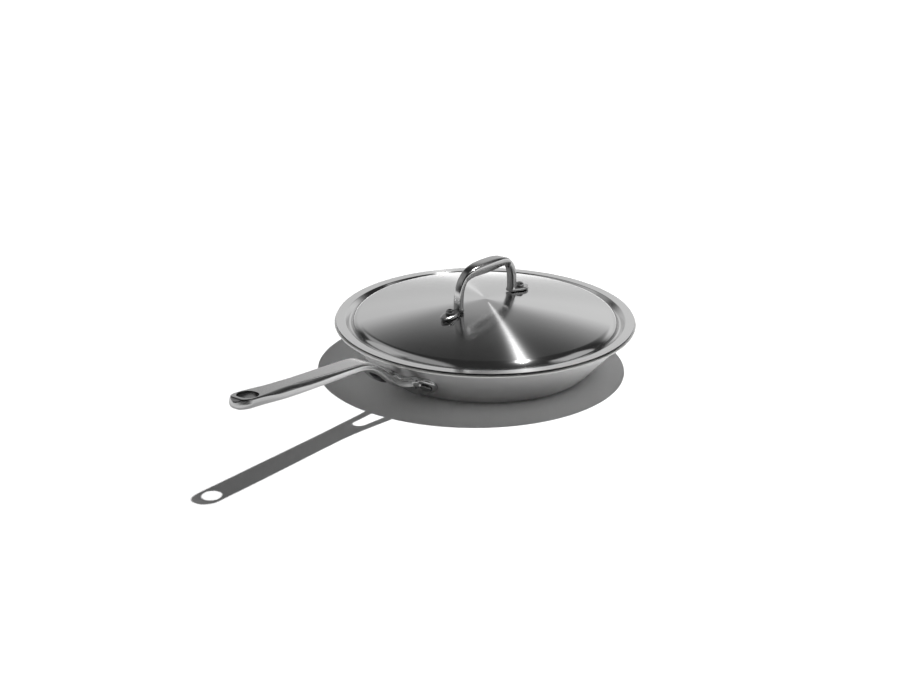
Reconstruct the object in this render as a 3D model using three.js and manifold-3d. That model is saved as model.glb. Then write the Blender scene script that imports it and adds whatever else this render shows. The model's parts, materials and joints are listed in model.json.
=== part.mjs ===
// Frying pan with a lift-off lid: a three-ply bowl, a cast handle held by two rivets,
// and a spun lid with a cast loop held by two rivets.
// Millimetres, +Z up. The origin is the centre of the base, on the surface it stands on.
// +X runs along the pan handle.

import * as THREE from 'three';
import { mergeVertices } from 'three/addons/utils/BufferGeometryUtils.js';
import Module from 'manifold-3d';

const wasm = await Module();
wasm.setup();

const degrees = Math.PI / 180;

// Bowl
const rimRadius = 159.5;
const panHeight = 51;
const baseRadius = 107;
const cornerRadius = 10;
const lipBendRadius = 10;
const lipSlope = 12 * degrees;
const lipFlat = 1.5;
const outerPly = 0.5;
const corePly = 1.7;
const innerPly = 0.5;
const bondLine = 0.05;

// Handle: lengths along X are measured outwards from the rim
const handleReach = 243;
const tipHeight = 92.8;
const gripSlope = 6.2 * degrees;
const gripWidth = 26.6;
const gripThickness = 11;
const gripSideHeight = 4.5;
const gripEdgeRound = 4;
const tipRounding = 14;
const tipThinning = 0.75;
const neckReach = 68.5;
const neckWidth = 25.2;
const neckThickness = 7;
const neckSideHeight = 5;
const neckEdgeRound = 1.8;
const neckCrestPull = 46;
const footPull = 36;
const footSlope = 10 * degrees;
const footWidth = 38;
const footAboveFlange = 1.5;
const hangHoleLength = 24;
const hangHoleWidth = 19.6;
const hangHoleEndWall = 7.5;
const windowReach = 30;
const windowNeckWidth = 13.4;
const windowFootWidth = 19;

// Flange that hugs the wall: a round ear about each of the two handle rivets, and a round foot.
// Its gaps are measured along the straight wall, from the lip's bend and from the base's corner
const flangeThickness = 5;
const flangeTopGap = 11.6;
const flangeFootGap = 6;
const flangeEarRadius = 12.6;
const flangeFootRadius = 7;
const flangeEdgeRound = 2.4;
const flangeDip = 7;
const flangeDipWidth = 11;
const rivetSpacing = 48.8;
const rivetShank = 6.4;
const rivetInnerHead = 14;
const rivetInnerHeadHeight = 2.2;
const rivetOuterHead = 12;
const rivetOuterHeadHeight = 1.8;

// Lid
const lidSheet = 1;
const lidFlangeInset = 1.3;
const lidFlangeWidth = 9.4;
const lidFlangeBend = 1.2;
const grooveDepth = 4.4;
const grooveBend = 2.5;
const grooveRise = 36 * degrees;
const shoulderRise = 3.9;
const shoulderBend = 3;
const shoulderDrop = 46 * degrees;
const domeTipSlope = 4.7 * degrees;
const domeEdgeSlope = 11.2 * degrees;
const lidTurn = -4.4 * degrees;

// Lid loop and its rivets
const loopRivetSpacing = 113;
const loopLegSpacing = 87;
const loopFingerGap = 34;
const loopSquareness = 3.6;
const loopFootTip = 11.5;
const loopFootWidth = 15;
const loopFootThickness = 4;
const loopLegWidth = 8.2;
const loopLegThickness = 7.4;
const loopGripWidth = 16.5;
const loopGripThickness = 10.2;
const loopGripLength = 72;
const loopKeel = 0.35;
const loopRivetShank = 5;
const loopRivetInnerHead = 12;
const loopRivetInnerHeadHeight = 2;
const loopRivetHead = 9;
const loopRivetHeadHeight = 3.7;
const loopRivetDish = 0.6;

// Clearances
const seatGap = 0.3;
const holeGap = 0.3;

// Facets
const turnFacets = 56;
const bendFacets = 3;
const rivetFacets = 18;
const holeFacets = 10;
const earFacets = 8;
const flangeFootFacets = 2;
const loopFacets = 14;
const footFacets = 6;

const bowlWall = outerPly + corePly + innerPly + 2 * bondLine;

// A direction turned down from the level by an angle, and the same direction turned up
const slopeNormal = (angle) => new THREE.Vector2(Math.sin(angle), -Math.cos(angle));
const slopeTangent = (angle) => new THREE.Vector2(Math.cos(angle), Math.sin(angle));

// A point stepped a distance along a direction
const stepped = (point, direction, distance) => point.clone().addScaledVector(direction, distance);

// Evenly spaced values, both ends included
const spread = (from, to, steps) =>
  Array.from({ length: steps + 1 }, (_, index) => from + ((to - from) * index) / steps);

// A power of a number's size, with its sign kept: it squares off a sine or cosine
const signedPower = (value, power) => Math.sign(value) * Math.abs(value) ** power;

// A closed mesh as a solid for joining and cutting
function solid(geometry) {
  const bare = geometry.clone();
  bare.deleteAttribute('normal');
  bare.deleteAttribute('uv');
  const merged = mergeVertices(bare, 1e-4);
  const corners = merged.index.array;
  const triVerts = [];
  for (let face = 0; face < corners.length; face += 3) {
    const [a, b, c] = corners.slice(face, face + 3);
    if (a !== b && b !== c && c !== a) triVerts.push(a, b, c);
  }
  const vertProperties = new Float32Array(merged.attributes.position.array);
  return new wasm.Manifold(new wasm.Mesh({
    numProp: 3,
    vertProperties,
    triVerts: new Uint32Array(triVerts),
  }));
}

// A solid as geometry again
function geometryOf(body) {
  const mesh = body.getMesh();
  const geometry = new THREE.BufferGeometry();
  const points = new Float32Array(mesh.numVert * 3);
  for (let vertex = 0; vertex < mesh.numVert; vertex += 1) {
    const start = vertex * mesh.numProp;
    points.set(mesh.vertProperties.slice(start, start + 3), vertex * 3);
  }
  geometry.setAttribute('position', new THREE.BufferAttribute(points, 3));
  geometry.setIndex(new THREE.BufferAttribute(new Uint32Array(mesh.triVerts), 1));
  geometry.computeVertexNormals();
  return geometry;
}

// A profile of (radius, height) points turned about Z
function turned(profile, facets) {
  return new THREE.LatheGeometry(profile, facets).rotateX(Math.PI / 2);
}

// A skin over a row of closed rings, with a fan over each end
function skinned(rings) {
  const count = rings[0].length;
  const faces = [];
  for (let row = 0; row + 1 < rings.length; row += 1) {
    for (let side = 0; side < count; side += 1) {
      const a = row * count + side;
      const b = row * count + ((side + 1) % count);
      faces.push(a, b, a + count, b, b + count, a + count);
    }
  }
  const last = (rings.length - 1) * count;
  for (let side = 1; side + 1 < count; side += 1) {
    faces.push(0, side + 1, side);
    faces.push(last, last + side, last + side + 1);
  }
  const geometry = new THREE.BufferGeometry().setFromPoints(rings.flat());
  geometry.setIndex(faces);
  geometry.computeVertexNormals();
  return geometry;
}

// A shape drawn in X and Y, extruded both ways along Z
function prism(shape, height, facets) {
  const options = { depth: height, bevelEnabled: false, curveSegments: facets };
  return new THREE.ExtrudeGeometry(shape, options).translate(0, 0, -height / 2);
}

// The matrix that stands a piece's Z axis along a direction at a point
function standing(point, direction) {
  const up = new THREE.Vector3(0, 0, 1);
  const turn = new THREE.Quaternion().setFromUnitVectors(up, direction);
  return new THREE.Matrix4().compose(point, turn, new THREE.Vector3(1, 1, 1));
}

// The straight hole that a rivet's shank passes through
function rivetHole(seat, shank, length) {
  const radius = shank / 2 + holeGap;
  const hole = new THREE.CylinderGeometry(radius, radius, 2 * length, rivetFacets);
  return solid(hole.rotateX(Math.PI / 2).applyMatrix4(seat));
}

// A body with a row of others cut away
const cutBy = (body, cuts) => geometryOf(cuts.reduce((rest, cut) => rest.subtract(cut), body));

function steel(color, roughness) {
  return new THREE.MeshStandardMaterial({ color, roughness, metalness: 1 });
}

function named(name, geometry, material) {
  const mesh = new THREE.Mesh(geometry, material);
  mesh.name = name;
  return mesh;
}

// Bowl section: flat base, corner bend, straight wall, lip bend and lip, on the outside face.
// The straight wall is the common tangent of the two bends.
const lipUnder = panHeight - bowlWall / Math.cos(lipSlope);
const lipStart = stepped(new THREE.Vector2(rimRadius, lipUnder), slopeTangent(lipSlope), -lipFlat);
const lipCentre = stepped(lipStart, slopeNormal(lipSlope), lipBendRadius);
const cornerCentre = new THREE.Vector2(baseRadius, cornerRadius);
const centreLine = lipCentre.clone().sub(cornerCentre);
const wallTurn = Math.asin((cornerRadius + lipBendRadius) / centreLine.length());
const wallSlope = centreLine.angle() + wallTurn;
const wallStart = stepped(cornerCentre, slopeNormal(wallSlope), cornerRadius);
const wallEnd = stepped(lipCentre, slopeNormal(wallSlope), -lipBendRadius);
const wallLength = wallEnd.distanceTo(wallStart);

// The face of the bowl at a depth below its outside face, from the axis out to the rim
function bowlFace(depth) {
  const points = [new THREE.Vector2(0, depth)];
  for (const angle of spread(0, wallSlope, bendFacets)) {
    points.push(stepped(cornerCentre, slopeNormal(angle), cornerRadius - depth));
  }
  for (const angle of spread(wallSlope, lipSlope, bendFacets)) {
    points.push(stepped(lipCentre, slopeNormal(angle), -lipBendRadius - depth));
  }
  points.push(new THREE.Vector2(rimRadius, lipUnder + depth / Math.cos(lipSlope)));
  return points;
}

// A point on the straight wall: up the wall, out from its outside face, and across the handle
const flangeMiddle = (flangeFootGap + wallLength - flangeTopGap) / 2;
const flangeEarUp = wallLength - flangeTopGap - flangeEarRadius;
const flangeRadius = stepped(wallStart, slopeTangent(wallSlope), flangeMiddle).x;

function onWall(up, out, across) {
  const face = stepped(wallStart, slopeTangent(wallSlope), up);
  const section = stepped(face, slopeNormal(wallSlope), out);
  const angle = across / flangeRadius;
  return new THREE.Vector3(section.x * Math.cos(angle), section.x * Math.sin(angle), section.y);
}

// Where a handle rivet stands: on the wall's outside face, pointing straight out of it
function handleRivetSeat(side) {
  const point = onWall(flangeEarUp, 0, (side * rivetSpacing) / 2);
  const out = onWall(flangeEarUp, 1, (side * rivetSpacing) / 2).sub(point);
  return standing(point, out.normalize());
}

const handleRivetReach = bowlWall + flangeThickness + 2 * seatGap;
const handleRivetHoles = [1, -1].map((side) =>
  rivetHole(handleRivetSeat(side), rivetShank, 2 * handleRivetReach));

// One ply: the layer of the bowl between two depths, pierced for the rivets
function ply(from, thickness) {
  const section = [...bowlFace(from), ...bowlFace(from + thickness).reverse()];
  return cutBy(solid(turned(section, turnFacets)), handleRivetHoles);
}

// Handle section: a flat top with rounded edges, upright sides and a squared-off round underside.
// The ring runs across (left to right seen from the tip) and down from the top face.
const undersidePower = 0.8;

function handleRing({ width, thickness, sideHeight, edgeRound }) {
  const half = width / 2;
  const round = Math.min(edgeRound, half / 2);
  const ring = [];
  for (const angle of spread(0, 90 * degrees, 2)) {
    ring.push([round - half - round * Math.cos(angle), round - round * Math.sin(angle)]);
  }
  for (const angle of spread(90 * degrees, 0, 2)) {
    ring.push([half - round + round * Math.cos(angle), round - round * Math.sin(angle)]);
  }
  for (const angle of spread(0, Math.PI, 8)) {
    const across = signedPower(Math.cos(angle), undersidePower) * half;
    const drop = (thickness - sideHeight) * Math.sin(angle) ** undersidePower;
    ring.push([across, sideHeight + drop]);
  }
  return ring;
}

// The line of the handle's top face in the plane y = 0, from the tip to inside the wall:
// a straight grip, then a falling S-bend whose foot lands just above the flange.
const tip = new THREE.Vector2(rimRadius + handleReach, tipHeight);
const neck = stepped(tip, slopeTangent(gripSlope), -(handleReach - neckReach) / Math.cos(gripSlope));
const footSection = onWall(wallLength - flangeTopGap + footAboveFlange, flangeThickness, 0);
const foot = new THREE.Vector2(footSection.x, footSection.z);
const neckCurve = new THREE.CubicBezierCurve(
  neck,
  stepped(neck, slopeTangent(gripSlope), -neckCrestPull),
  stepped(foot, slopeTangent(footSlope), footPull),
  foot,
);

function handleStation(point, tangent, sizes) {
  const down = new THREE.Vector2(tangent.y, -tangent.x);
  return handleRing(sizes).map(([across, drop]) => {
    const place = stepped(point, down, drop);
    return new THREE.Vector3(place.x, across, place.y);
  });
}

const gripSizes = {
  width: gripWidth,
  thickness: gripThickness,
  sideHeight: gripSideHeight,
  edgeRound: gripEdgeRound,
};
const neckSizes = {
  width: neckWidth,
  thickness: neckThickness,
  sideHeight: neckSideHeight,
  edgeRound: neckEdgeRound,
};

function handleStations() {
  const stations = [];
  const gripTangent = slopeTangent(gripSlope);
  const footTangent = slopeTangent(footSlope);
  const straight = neck.distanceTo(tip) - tipRounding;
  for (const turn of spread(6 * degrees, 90 * degrees, 6)) {
    const point = stepped(tip, gripTangent, -tipRounding * (1 - Math.cos(turn)));
    const width = gripWidth * Math.sin(turn);
    const thickness = gripThickness * THREE.MathUtils.lerp(tipThinning, 1, Math.sin(turn));
    stations.push(handleStation(point, gripTangent, { ...gripSizes, width, thickness }));
  }
  for (const share of [0.35, 0.7]) {
    const point = stepped(tip, gripTangent, -tipRounding - straight * share);
    stations.push(handleStation(point, gripTangent, gripSizes));
  }
  for (const share of spread(0, 1, 12)) {
    const tangent = neckCurve.getTangent(share).negate();
    const width = THREE.MathUtils.lerp(neckWidth, footWidth, share ** 2);
    stations.push(handleStation(neckCurve.getPoint(share), tangent, { ...neckSizes, width }));
  }
  const inside = stepped(foot, footTangent, -2 * flangeThickness);
  stations.push(handleStation(inside, footTangent, { ...neckSizes, width: footWidth }));
  return stations;
}

// A point on a circle
const onCircle = (centre, radius, angle) => stepped(centre, slopeTangent(angle), radius);

// One half of the flange's outline as (across, up) points, drawn in by an inset: round the foot,
// along the line that touches foot and ear, round the ear, and over the top edge, which dips
// between the two legs
function flangeHalf(inset) {
  const ear = new THREE.Vector2(rivetSpacing / 2, flangeEarUp);
  const footCentre = new THREE.Vector2(0, flangeFootGap + flangeFootRadius);
  const earRadius = flangeEarRadius - inset;
  const footRadius = flangeFootRadius - inset;
  const line = footCentre.clone().sub(ear);
  const lean = Math.acos((earRadius - footRadius) / line.length());
  const side = line.angle() + lean - 2 * Math.PI;
  const half = [];
  for (const angle of spread(-90 * degrees, side, flangeFootFacets)) {
    half.push(onCircle(footCentre, footRadius, angle));
  }
  for (const angle of spread(side, 90 * degrees, earFacets)) {
    half.push(onCircle(ear, earRadius, angle));
  }
  for (const across of spread(ear.x, 0, 3).slice(1)) {
    const dip = flangeDip * Math.exp(-((across / flangeDipWidth) ** 2));
    half.push(new THREE.Vector2(across, ear.y + earRadius - dip));
  }
  return half;
}

// The whole outline on the wall at a height out from it, shrunk towards its middle by a share
function flangeRing(inset, out, share) {
  const half = flangeHalf(inset);
  const other = half.slice(1, -1).reverse().map((point) => new THREE.Vector2(-point.x, point.y));
  return [...half, ...other].map((point) =>
    onWall(THREE.MathUtils.lerp(flangeMiddle, point.y, share), out, point.x * share));
}

function flangeBody() {
  const middleShare = 0.05;
  const rings = [flangeRing(0, -bowlWall, middleShare), flangeRing(0, -bowlWall, 1)];
  for (const angle of spread(0, 90 * degrees, 2)) {
    const inset = flangeEdgeRound * (1 - Math.cos(angle));
    rings.push(flangeRing(inset, flangeThickness - flangeEdgeRound * (1 - Math.sin(angle)), 1));
  }
  rings.push(flangeRing(flangeEdgeRound, flangeThickness, middleShare));
  return solid(skinned(rings));
}

// What the pan's bowl takes up, with the seat's gap round it
function bowlClearance() {
  const above = 2 * panHeight;
  const section = bowlFace(-seatGap);
  const edge = section[section.length - 1];
  edge.x += seatGap;
  section.push(new THREE.Vector2(edge.x, above), new THREE.Vector2(0, above));
  return solid(turned(section, turnFacets));
}

// The hanging hole, square to the grip's top face
function hangHole() {
  const along = hangHoleEndWall + hangHoleLength / 2;
  const oval = new THREE.Shape();
  oval.absellipse(0, 0, hangHoleLength / 2, hangHoleWidth / 2, 0, 2 * Math.PI);
  const centre = stepped(tip, slopeTangent(gripSlope), -along);
  const hole = prism(oval, 4 * gripThickness, holeFacets);
  return solid(hole.rotateY(-gripSlope).translate(centre.x, 0, centre.y));
}

// The window between the legs: a round end at the neck, sides that spread towards the pan
function forkWindow() {
  const start = rimRadius + windowReach;
  const end = onWall(wallLength - flangeTopGap, flangeThickness + seatGap, 0).x;
  const round = windowNeckWidth / 2;
  const shape = new THREE.Shape();
  shape.moveTo(end, -windowFootWidth / 2);
  shape.lineTo(start - round, -round);
  shape.absarc(start - round, 0, round, -Math.PI / 2, Math.PI / 2, false);
  shape.lineTo(end, windowFootWidth / 2);
  return solid(prism(shape, 4 * tipHeight, holeFacets));
}

function panHandle() {
  const cast = solid(skinned(handleStations())).add(flangeBody());
  return cutBy(cast, [bowlClearance(), hangHole(), forkWindow(), ...handleRivetHoles]);
}

// A rivet standing on a face at height 0: a low round head below it, the shank, and an upset
// end above the pieces that it holds. The dish hollows the end.
function rivet(shank, lower, lowerHeight, upper, upperHeight, grip, dish) {
  const lowerFace = -seatGap;
  const upperFace = grip + seatGap;
  const round = spread(0, 75 * degrees, 3).map((angle) => new THREE.Vector2(
    (lower / 2) * Math.sin(angle),
    lowerFace - lowerHeight * Math.cos(angle),
  ));
  const brim = upperHeight * 0.25;
  const section = [
    ...round,
    new THREE.Vector2(lower / 2, lowerFace),
    new THREE.Vector2(shank / 2, lowerFace),
    new THREE.Vector2(shank / 2, upperFace),
    new THREE.Vector2(upper / 2, upperFace),
    new THREE.Vector2(upper / 2, upperFace + upperHeight - brim),
    new THREE.Vector2(upper / 2 - brim, upperFace + upperHeight),
    new THREE.Vector2(0, upperFace + upperHeight - dish),
  ];
  return turned(section, rivetFacets);
}

function handleRivet(name, side) {
  const grip = bowlWall + seatGap + flangeThickness;
  const geometry = rivet(
    rivetShank, rivetInnerHead, rivetInnerHeadHeight, rivetOuterHead, rivetOuterHeadHeight, grip, 0,
  ).translate(0, 0, -bowlWall);
  const mesh = named(name, geometry, steel(0xc4c5c6, 0.3));
  mesh.applyMatrix4(handleRivetSeat(side));
  return mesh;
}

// Lid section: the top face from the axis out, worked inwards from the flange.
const lidUnder = panHeight + seatGap;
const lidFlangeTop = lidUnder + lidSheet;
const lidFlangeRadius = rimRadius - lidFlangeInset;
const flangeBendCentre = new THREE.Vector2(
  lidFlangeRadius - lidFlangeWidth,
  lidFlangeTop - lidFlangeBend,
);
const riseTop = stepped(flangeBendCentre, slopeNormal(grooveRise), -lidFlangeBend);
const grooveFloor = lidFlangeTop - grooveDepth;
const grooveRiseFoot = grooveFloor + grooveBend * (1 - Math.cos(grooveRise));
const riseRun = (riseTop.y - grooveRiseFoot) / Math.tan(grooveRise);
const grooveCentre = new THREE.Vector2(
  riseTop.x - riseRun - grooveBend * Math.sin(grooveRise),
  grooveFloor + grooveBend,
);
const dropFoot = stepped(grooveCentre, slopeNormal(-shoulderDrop), grooveBend);
const domeEdgeHeight = lidFlangeTop + shoulderRise;
const dropTop = domeEdgeHeight - shoulderBend * (Math.cos(domeEdgeSlope) - Math.cos(shoulderDrop));
const dropRun = (dropTop - dropFoot.y) / Math.tan(shoulderDrop);
const shoulderCentre = new THREE.Vector2(
  dropFoot.x - dropRun - shoulderBend * Math.sin(shoulderDrop),
  domeEdgeHeight - shoulderBend * Math.cos(domeEdgeSlope),
);
const domeRadius = shoulderCentre.x + shoulderBend * Math.sin(domeEdgeSlope);

// The dome falls by a slope that grows evenly from its tip to its edge
const domeGrowth = (Math.tan(domeEdgeSlope) - Math.tan(domeTipSlope)) / (2 * domeRadius);
const domeFall = (radius) => Math.tan(domeTipSlope) * radius + domeGrowth * radius ** 2;
const domeSlope = (radius) => Math.atan(Math.tan(domeTipSlope) + 2 * domeGrowth * radius);
const domeApex = domeEdgeHeight + domeFall(domeRadius);
const domeHeight = (radius) => domeApex - domeFall(radius);

// The lid's face at a depth below its top face
function lidFace(depth) {
  const points = [new THREE.Vector2(0, domeApex - depth / Math.cos(domeTipSlope))];
  for (const radius of spread(domeRadius / 5, domeRadius, 4)) {
    const top = new THREE.Vector2(radius, domeHeight(radius));
    points.push(stepped(top, slopeNormal(-domeSlope(radius)), depth));
  }
  for (const angle of spread(domeEdgeSlope, shoulderDrop, bendFacets - 1).slice(1)) {
    points.push(stepped(shoulderCentre, slopeNormal(-angle), depth - shoulderBend));
  }
  for (const angle of spread(-shoulderDrop, grooveRise, bendFacets)) {
    points.push(stepped(grooveCentre, slopeNormal(angle), grooveBend + depth));
  }
  for (const angle of spread(grooveRise, 0, bendFacets - 1)) {
    points.push(stepped(flangeBendCentre, slopeNormal(angle), depth - lidFlangeBend));
  }
  points.push(new THREE.Vector2(lidFlangeRadius, lidFlangeTop - depth));
  return points;
}

// Where a lid rivet stands: on the dome's top face, square to it
function lidRivetSeat(side) {
  const radius = loopRivetSpacing / 2;
  const out = slopeNormal(-domeSlope(radius)).negate();
  const direction = new THREE.Vector3(side * out.x, 0, out.y);
  return standing(new THREE.Vector3(side * radius, 0, domeHeight(radius)), direction);
}

const lidRivetGrip = lidSheet + seatGap + loopFootThickness;
const lidRivetHoles = [1, -1].map((side) =>
  rivetHole(lidRivetSeat(side), loopRivetShank, 2 * lidRivetGrip));

function lidBody() {
  const section = [...lidFace(lidSheet), ...lidFace(0).reverse()];
  return cutBy(solid(turned(section, turnFacets)), lidRivetHoles);
}

// Loop foot: a flat plate on the dome, as wide as the leg where the leg stands on it, widening to
// the rivet and round at its tip. It is drawn from the rivet outwards.
function loopFoot(side) {
  const inner = (loopLegSpacing - loopLegThickness - loopRivetSpacing) / 2;
  const legHalf = loopLegWidth / 2;
  const footHalf = loopFootWidth / 2;
  const pull = inner / 2;
  const shape = new THREE.Shape();
  shape.moveTo(inner, -legHalf);
  shape.bezierCurveTo(pull, -legHalf, pull, -footHalf, 0, -footHalf);
  shape.absellipse(0, 0, loopFootTip, footHalf, -Math.PI / 2, Math.PI / 2);
  shape.bezierCurveTo(pull, footHalf, pull, legHalf, inner, legHalf);
  const plate = prism(shape, loopFootThickness, footFacets);
  plate.translate(0, 0, seatGap + loopFootThickness / 2);
  if (side < 0) plate.rotateZ(Math.PI);
  return solid(plate.applyMatrix4(lidRivetSeat(side)));
}

// Loop arch: the middle line of the legs and the grip in the plane y = 0 is one squared-off
// ellipse, from inside one foot to inside the other. The grip widens and thickens to its middle.
function loopStations() {
  const rivetRadius = loopRivetSpacing / 2;
  const slope = domeSlope(rivetRadius);
  const legX = loopLegSpacing / 2;
  const lift = (seatGap + loopFootThickness / 2) / Math.cos(slope);
  const start = domeHeight(rivetRadius) + lift + (rivetRadius - legX) * Math.tan(slope);
  const crown = domeApex + loopFingerGap + loopGripThickness / 2 - start;
  const power = 2 / loopSquareness;
  return spread(0, Math.PI, 28).map((turn) => {
    const x = legX * signedPower(Math.cos(turn), power);
    const grip = Math.max(1 - (2 * x / loopGripLength) ** 2, 0);
    return {
      point: new THREE.Vector2(x, start + crown * Math.max(Math.sin(turn), 0) ** power),
      width: THREE.MathUtils.lerp(loopLegWidth, loopGripWidth, grip),
      thickness: THREE.MathUtils.lerp(loopLegThickness, loopGripThickness, grip),
      grip,
    };
  });
}

// The arch's section: a rounded box, wider on the outside of the loop where it is the grip
const loopSectionPower = 0.5;

function loopRing(station, before, after) {
  const tangent = after.point.clone().sub(before.point).normalize();
  const outward = new THREE.Vector2(tangent.y, -tangent.x);
  return spread(2 * Math.PI, 0, loopFacets).slice(0, loopFacets).map((angle) => {
    const rise = signedPower(Math.sin(angle), loopSectionPower) / 2;
    const keel = 1 - loopKeel * station.grip * (0.5 - rise);
    const across = signedPower(Math.cos(angle), loopSectionPower) * (station.width / 2) * keel;
    const place = stepped(station.point, outward, rise * station.thickness);
    return new THREE.Vector3(place.x, across, place.y);
  });
}

function lidLoop() {
  const stations = loopStations();
  const last = stations.length - 1;
  const rings = stations.map((station, index) =>
    loopRing(station, stations[Math.max(index - 1, 0)], stations[Math.min(index + 1, last)]));
  const cast = solid(skinned(rings)).add(loopFoot(1)).add(loopFoot(-1));
  return cutBy(cast, lidRivetHoles);
}

function lidRivet(name, side) {
  const geometry = rivet(
    loopRivetShank, loopRivetInnerHead, loopRivetInnerHeadHeight,
    loopRivetHead, loopRivetHeadHeight, lidRivetGrip, loopRivetDish,
  ).translate(0, 0, -lidSheet);
  const mesh = named(name, geometry, steel(0x9fa1a3, 0.28));
  mesh.applyMatrix4(lidRivetSeat(side));
  return mesh;
}

const coreStart = outerPly + bondLine;
const innerStart = coreStart + corePly + bondLine;

const pan = new THREE.Group();
pan.add(named('pan_outer_ply', ply(0, outerPly), steel(0xb9babb, 0.35)));
pan.add(named('pan_core', ply(coreStart, corePly), steel(0xd0d0ce, 0.5)));
pan.add(named('pan_inner_ply', ply(innerStart, innerPly), steel(0xc2c3c4, 0.35)));
pan.add(named('pan_handle', panHandle(), steel(0xb4b5b6, 0.4)));
pan.add(handleRivet('handle_rivet_left', 1));
pan.add(handleRivet('handle_rivet_right', -1));

const lid = new THREE.Group();
lid.rotation.z = lidTurn;
lid.add(named('lid', lidBody(), steel(0xbcbdbe, 0.3)));
lid.add(named('lid_loop', lidLoop(), steel(0x9a9b9d, 0.22)));
lid.add(lidRivet('lid_rivet_front', 1));
lid.add(lidRivet('lid_rivet_rear', -1));

const fryingPan = new THREE.Group();
fryingPan.add(pan, lid);

export default fryingPan;
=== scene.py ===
"""Looks of a frying pan with a lift-off lid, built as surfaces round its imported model."""

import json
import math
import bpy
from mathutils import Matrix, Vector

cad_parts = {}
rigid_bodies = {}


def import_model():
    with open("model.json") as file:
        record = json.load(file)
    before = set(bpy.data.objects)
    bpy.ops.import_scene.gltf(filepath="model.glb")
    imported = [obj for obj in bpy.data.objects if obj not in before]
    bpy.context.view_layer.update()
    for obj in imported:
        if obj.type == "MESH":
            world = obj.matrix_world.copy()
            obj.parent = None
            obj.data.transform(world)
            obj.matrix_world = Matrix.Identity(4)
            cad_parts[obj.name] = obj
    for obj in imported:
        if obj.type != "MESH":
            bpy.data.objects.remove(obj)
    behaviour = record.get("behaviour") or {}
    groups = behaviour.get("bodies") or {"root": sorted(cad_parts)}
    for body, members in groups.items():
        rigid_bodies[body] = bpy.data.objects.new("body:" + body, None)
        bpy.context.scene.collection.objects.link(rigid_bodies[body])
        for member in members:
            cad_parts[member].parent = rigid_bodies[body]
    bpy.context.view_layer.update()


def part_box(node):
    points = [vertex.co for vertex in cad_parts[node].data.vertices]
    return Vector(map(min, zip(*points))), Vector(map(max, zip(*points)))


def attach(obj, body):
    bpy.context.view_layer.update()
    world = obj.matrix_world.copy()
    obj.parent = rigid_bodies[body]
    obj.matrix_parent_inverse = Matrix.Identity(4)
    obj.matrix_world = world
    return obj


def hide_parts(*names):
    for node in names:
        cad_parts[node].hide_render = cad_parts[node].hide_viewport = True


bl_info = {
    "name": "Frying pan with lid",
    "version": (1, 0, 0),
    "blender": (4, 5, 0),
    "location": "3D View > Sidebar > Frying pan",
    "description": "Builds the bowl, handle, lid, loop and rivets of a frying pan, and its stage",
    "category": "Add Mesh",
}

import bmesh
import bpy
import numpy as np
from bpy.props import FloatProperty, FloatVectorProperty, PointerProperty
from mathutils import Matrix, Quaternion, Vector

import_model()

MM = 0.001
TINY = 1e-6
CREASE = 40
UV_NAME = "along_and_around"
RIM_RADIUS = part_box("pan_outer_ply")[1].x
PAN_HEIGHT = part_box("pan_inner_ply")[1].z


def linear(hex_colour):
    """The linear RGBA value of an sRGB hex colour."""
    value = np.array([int(hex_colour[i:i + 2], 16) for i in (1, 3, 5)]) / 255
    channels = np.where(value <= 0.04045, value / 12.92, ((value + 0.055) / 1.055) ** 2.4)
    return (*channels, 1.0)


def length(name, description, metres):
    """A size in metres that a user may change."""
    return FloatProperty(name=name, description=description, default=metres, unit="LENGTH", precision=5)


def angle(name, description, degrees):
    """An angle that a user may change."""
    return FloatProperty(name=name, description=description, default=math.radians(degrees), subtype="ANGLE")


def share(name, description, default):
    """A plain number that a user may change."""
    return FloatProperty(name=name, description=description, default=default)


def colour(name, description, hex_colour):
    """A colour that a user may change."""
    default = linear(hex_colour)
    return FloatVectorProperty(name=name, description=description, default=default, size=4, subtype="COLOR")


class BowlSizes(bpy.types.PropertyGroup):
    """Sizes of the bowl's section."""

    rim_radius: length("Rim radius", "Outer edge of the lip", RIM_RADIUS)
    height: length("Height", "From the floor to the top of the lip", PAN_HEIGHT)
    base_radius: length("Base radius", "Flat part of the base", 107 * MM)
    corner_radius: length("Corner radius", "Outside bend from base to wall", 10 * MM)
    lip_radius: length("Lip radius", "Outside bend from wall to lip", 10 * MM)
    lip_slope: angle("Lip slope", "Rise of the lip above the level", 12)
    lip_flat: length("Lip flat", "Straight run at the very edge", 1.5 * MM)
    outer_ply: length("Outer ply", "Thickness of the outer sheet", 0.5 * MM)
    core_ply: length("Core", "Thickness of the aluminium core", 1.7 * MM)
    inner_ply: length("Inner ply", "Thickness of the inner sheet", 0.5 * MM)
    bond_line: length("Bond line", "Gap drawn between two plies", 0.05 * MM)
    under_round: length("Under rounding", "Rounding of the cut rim's lower corner", 0.6 * MM)
    top_round: length("Top rounding", "Rounding of the cut rim's upper corner", 1.9 * MM)


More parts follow.
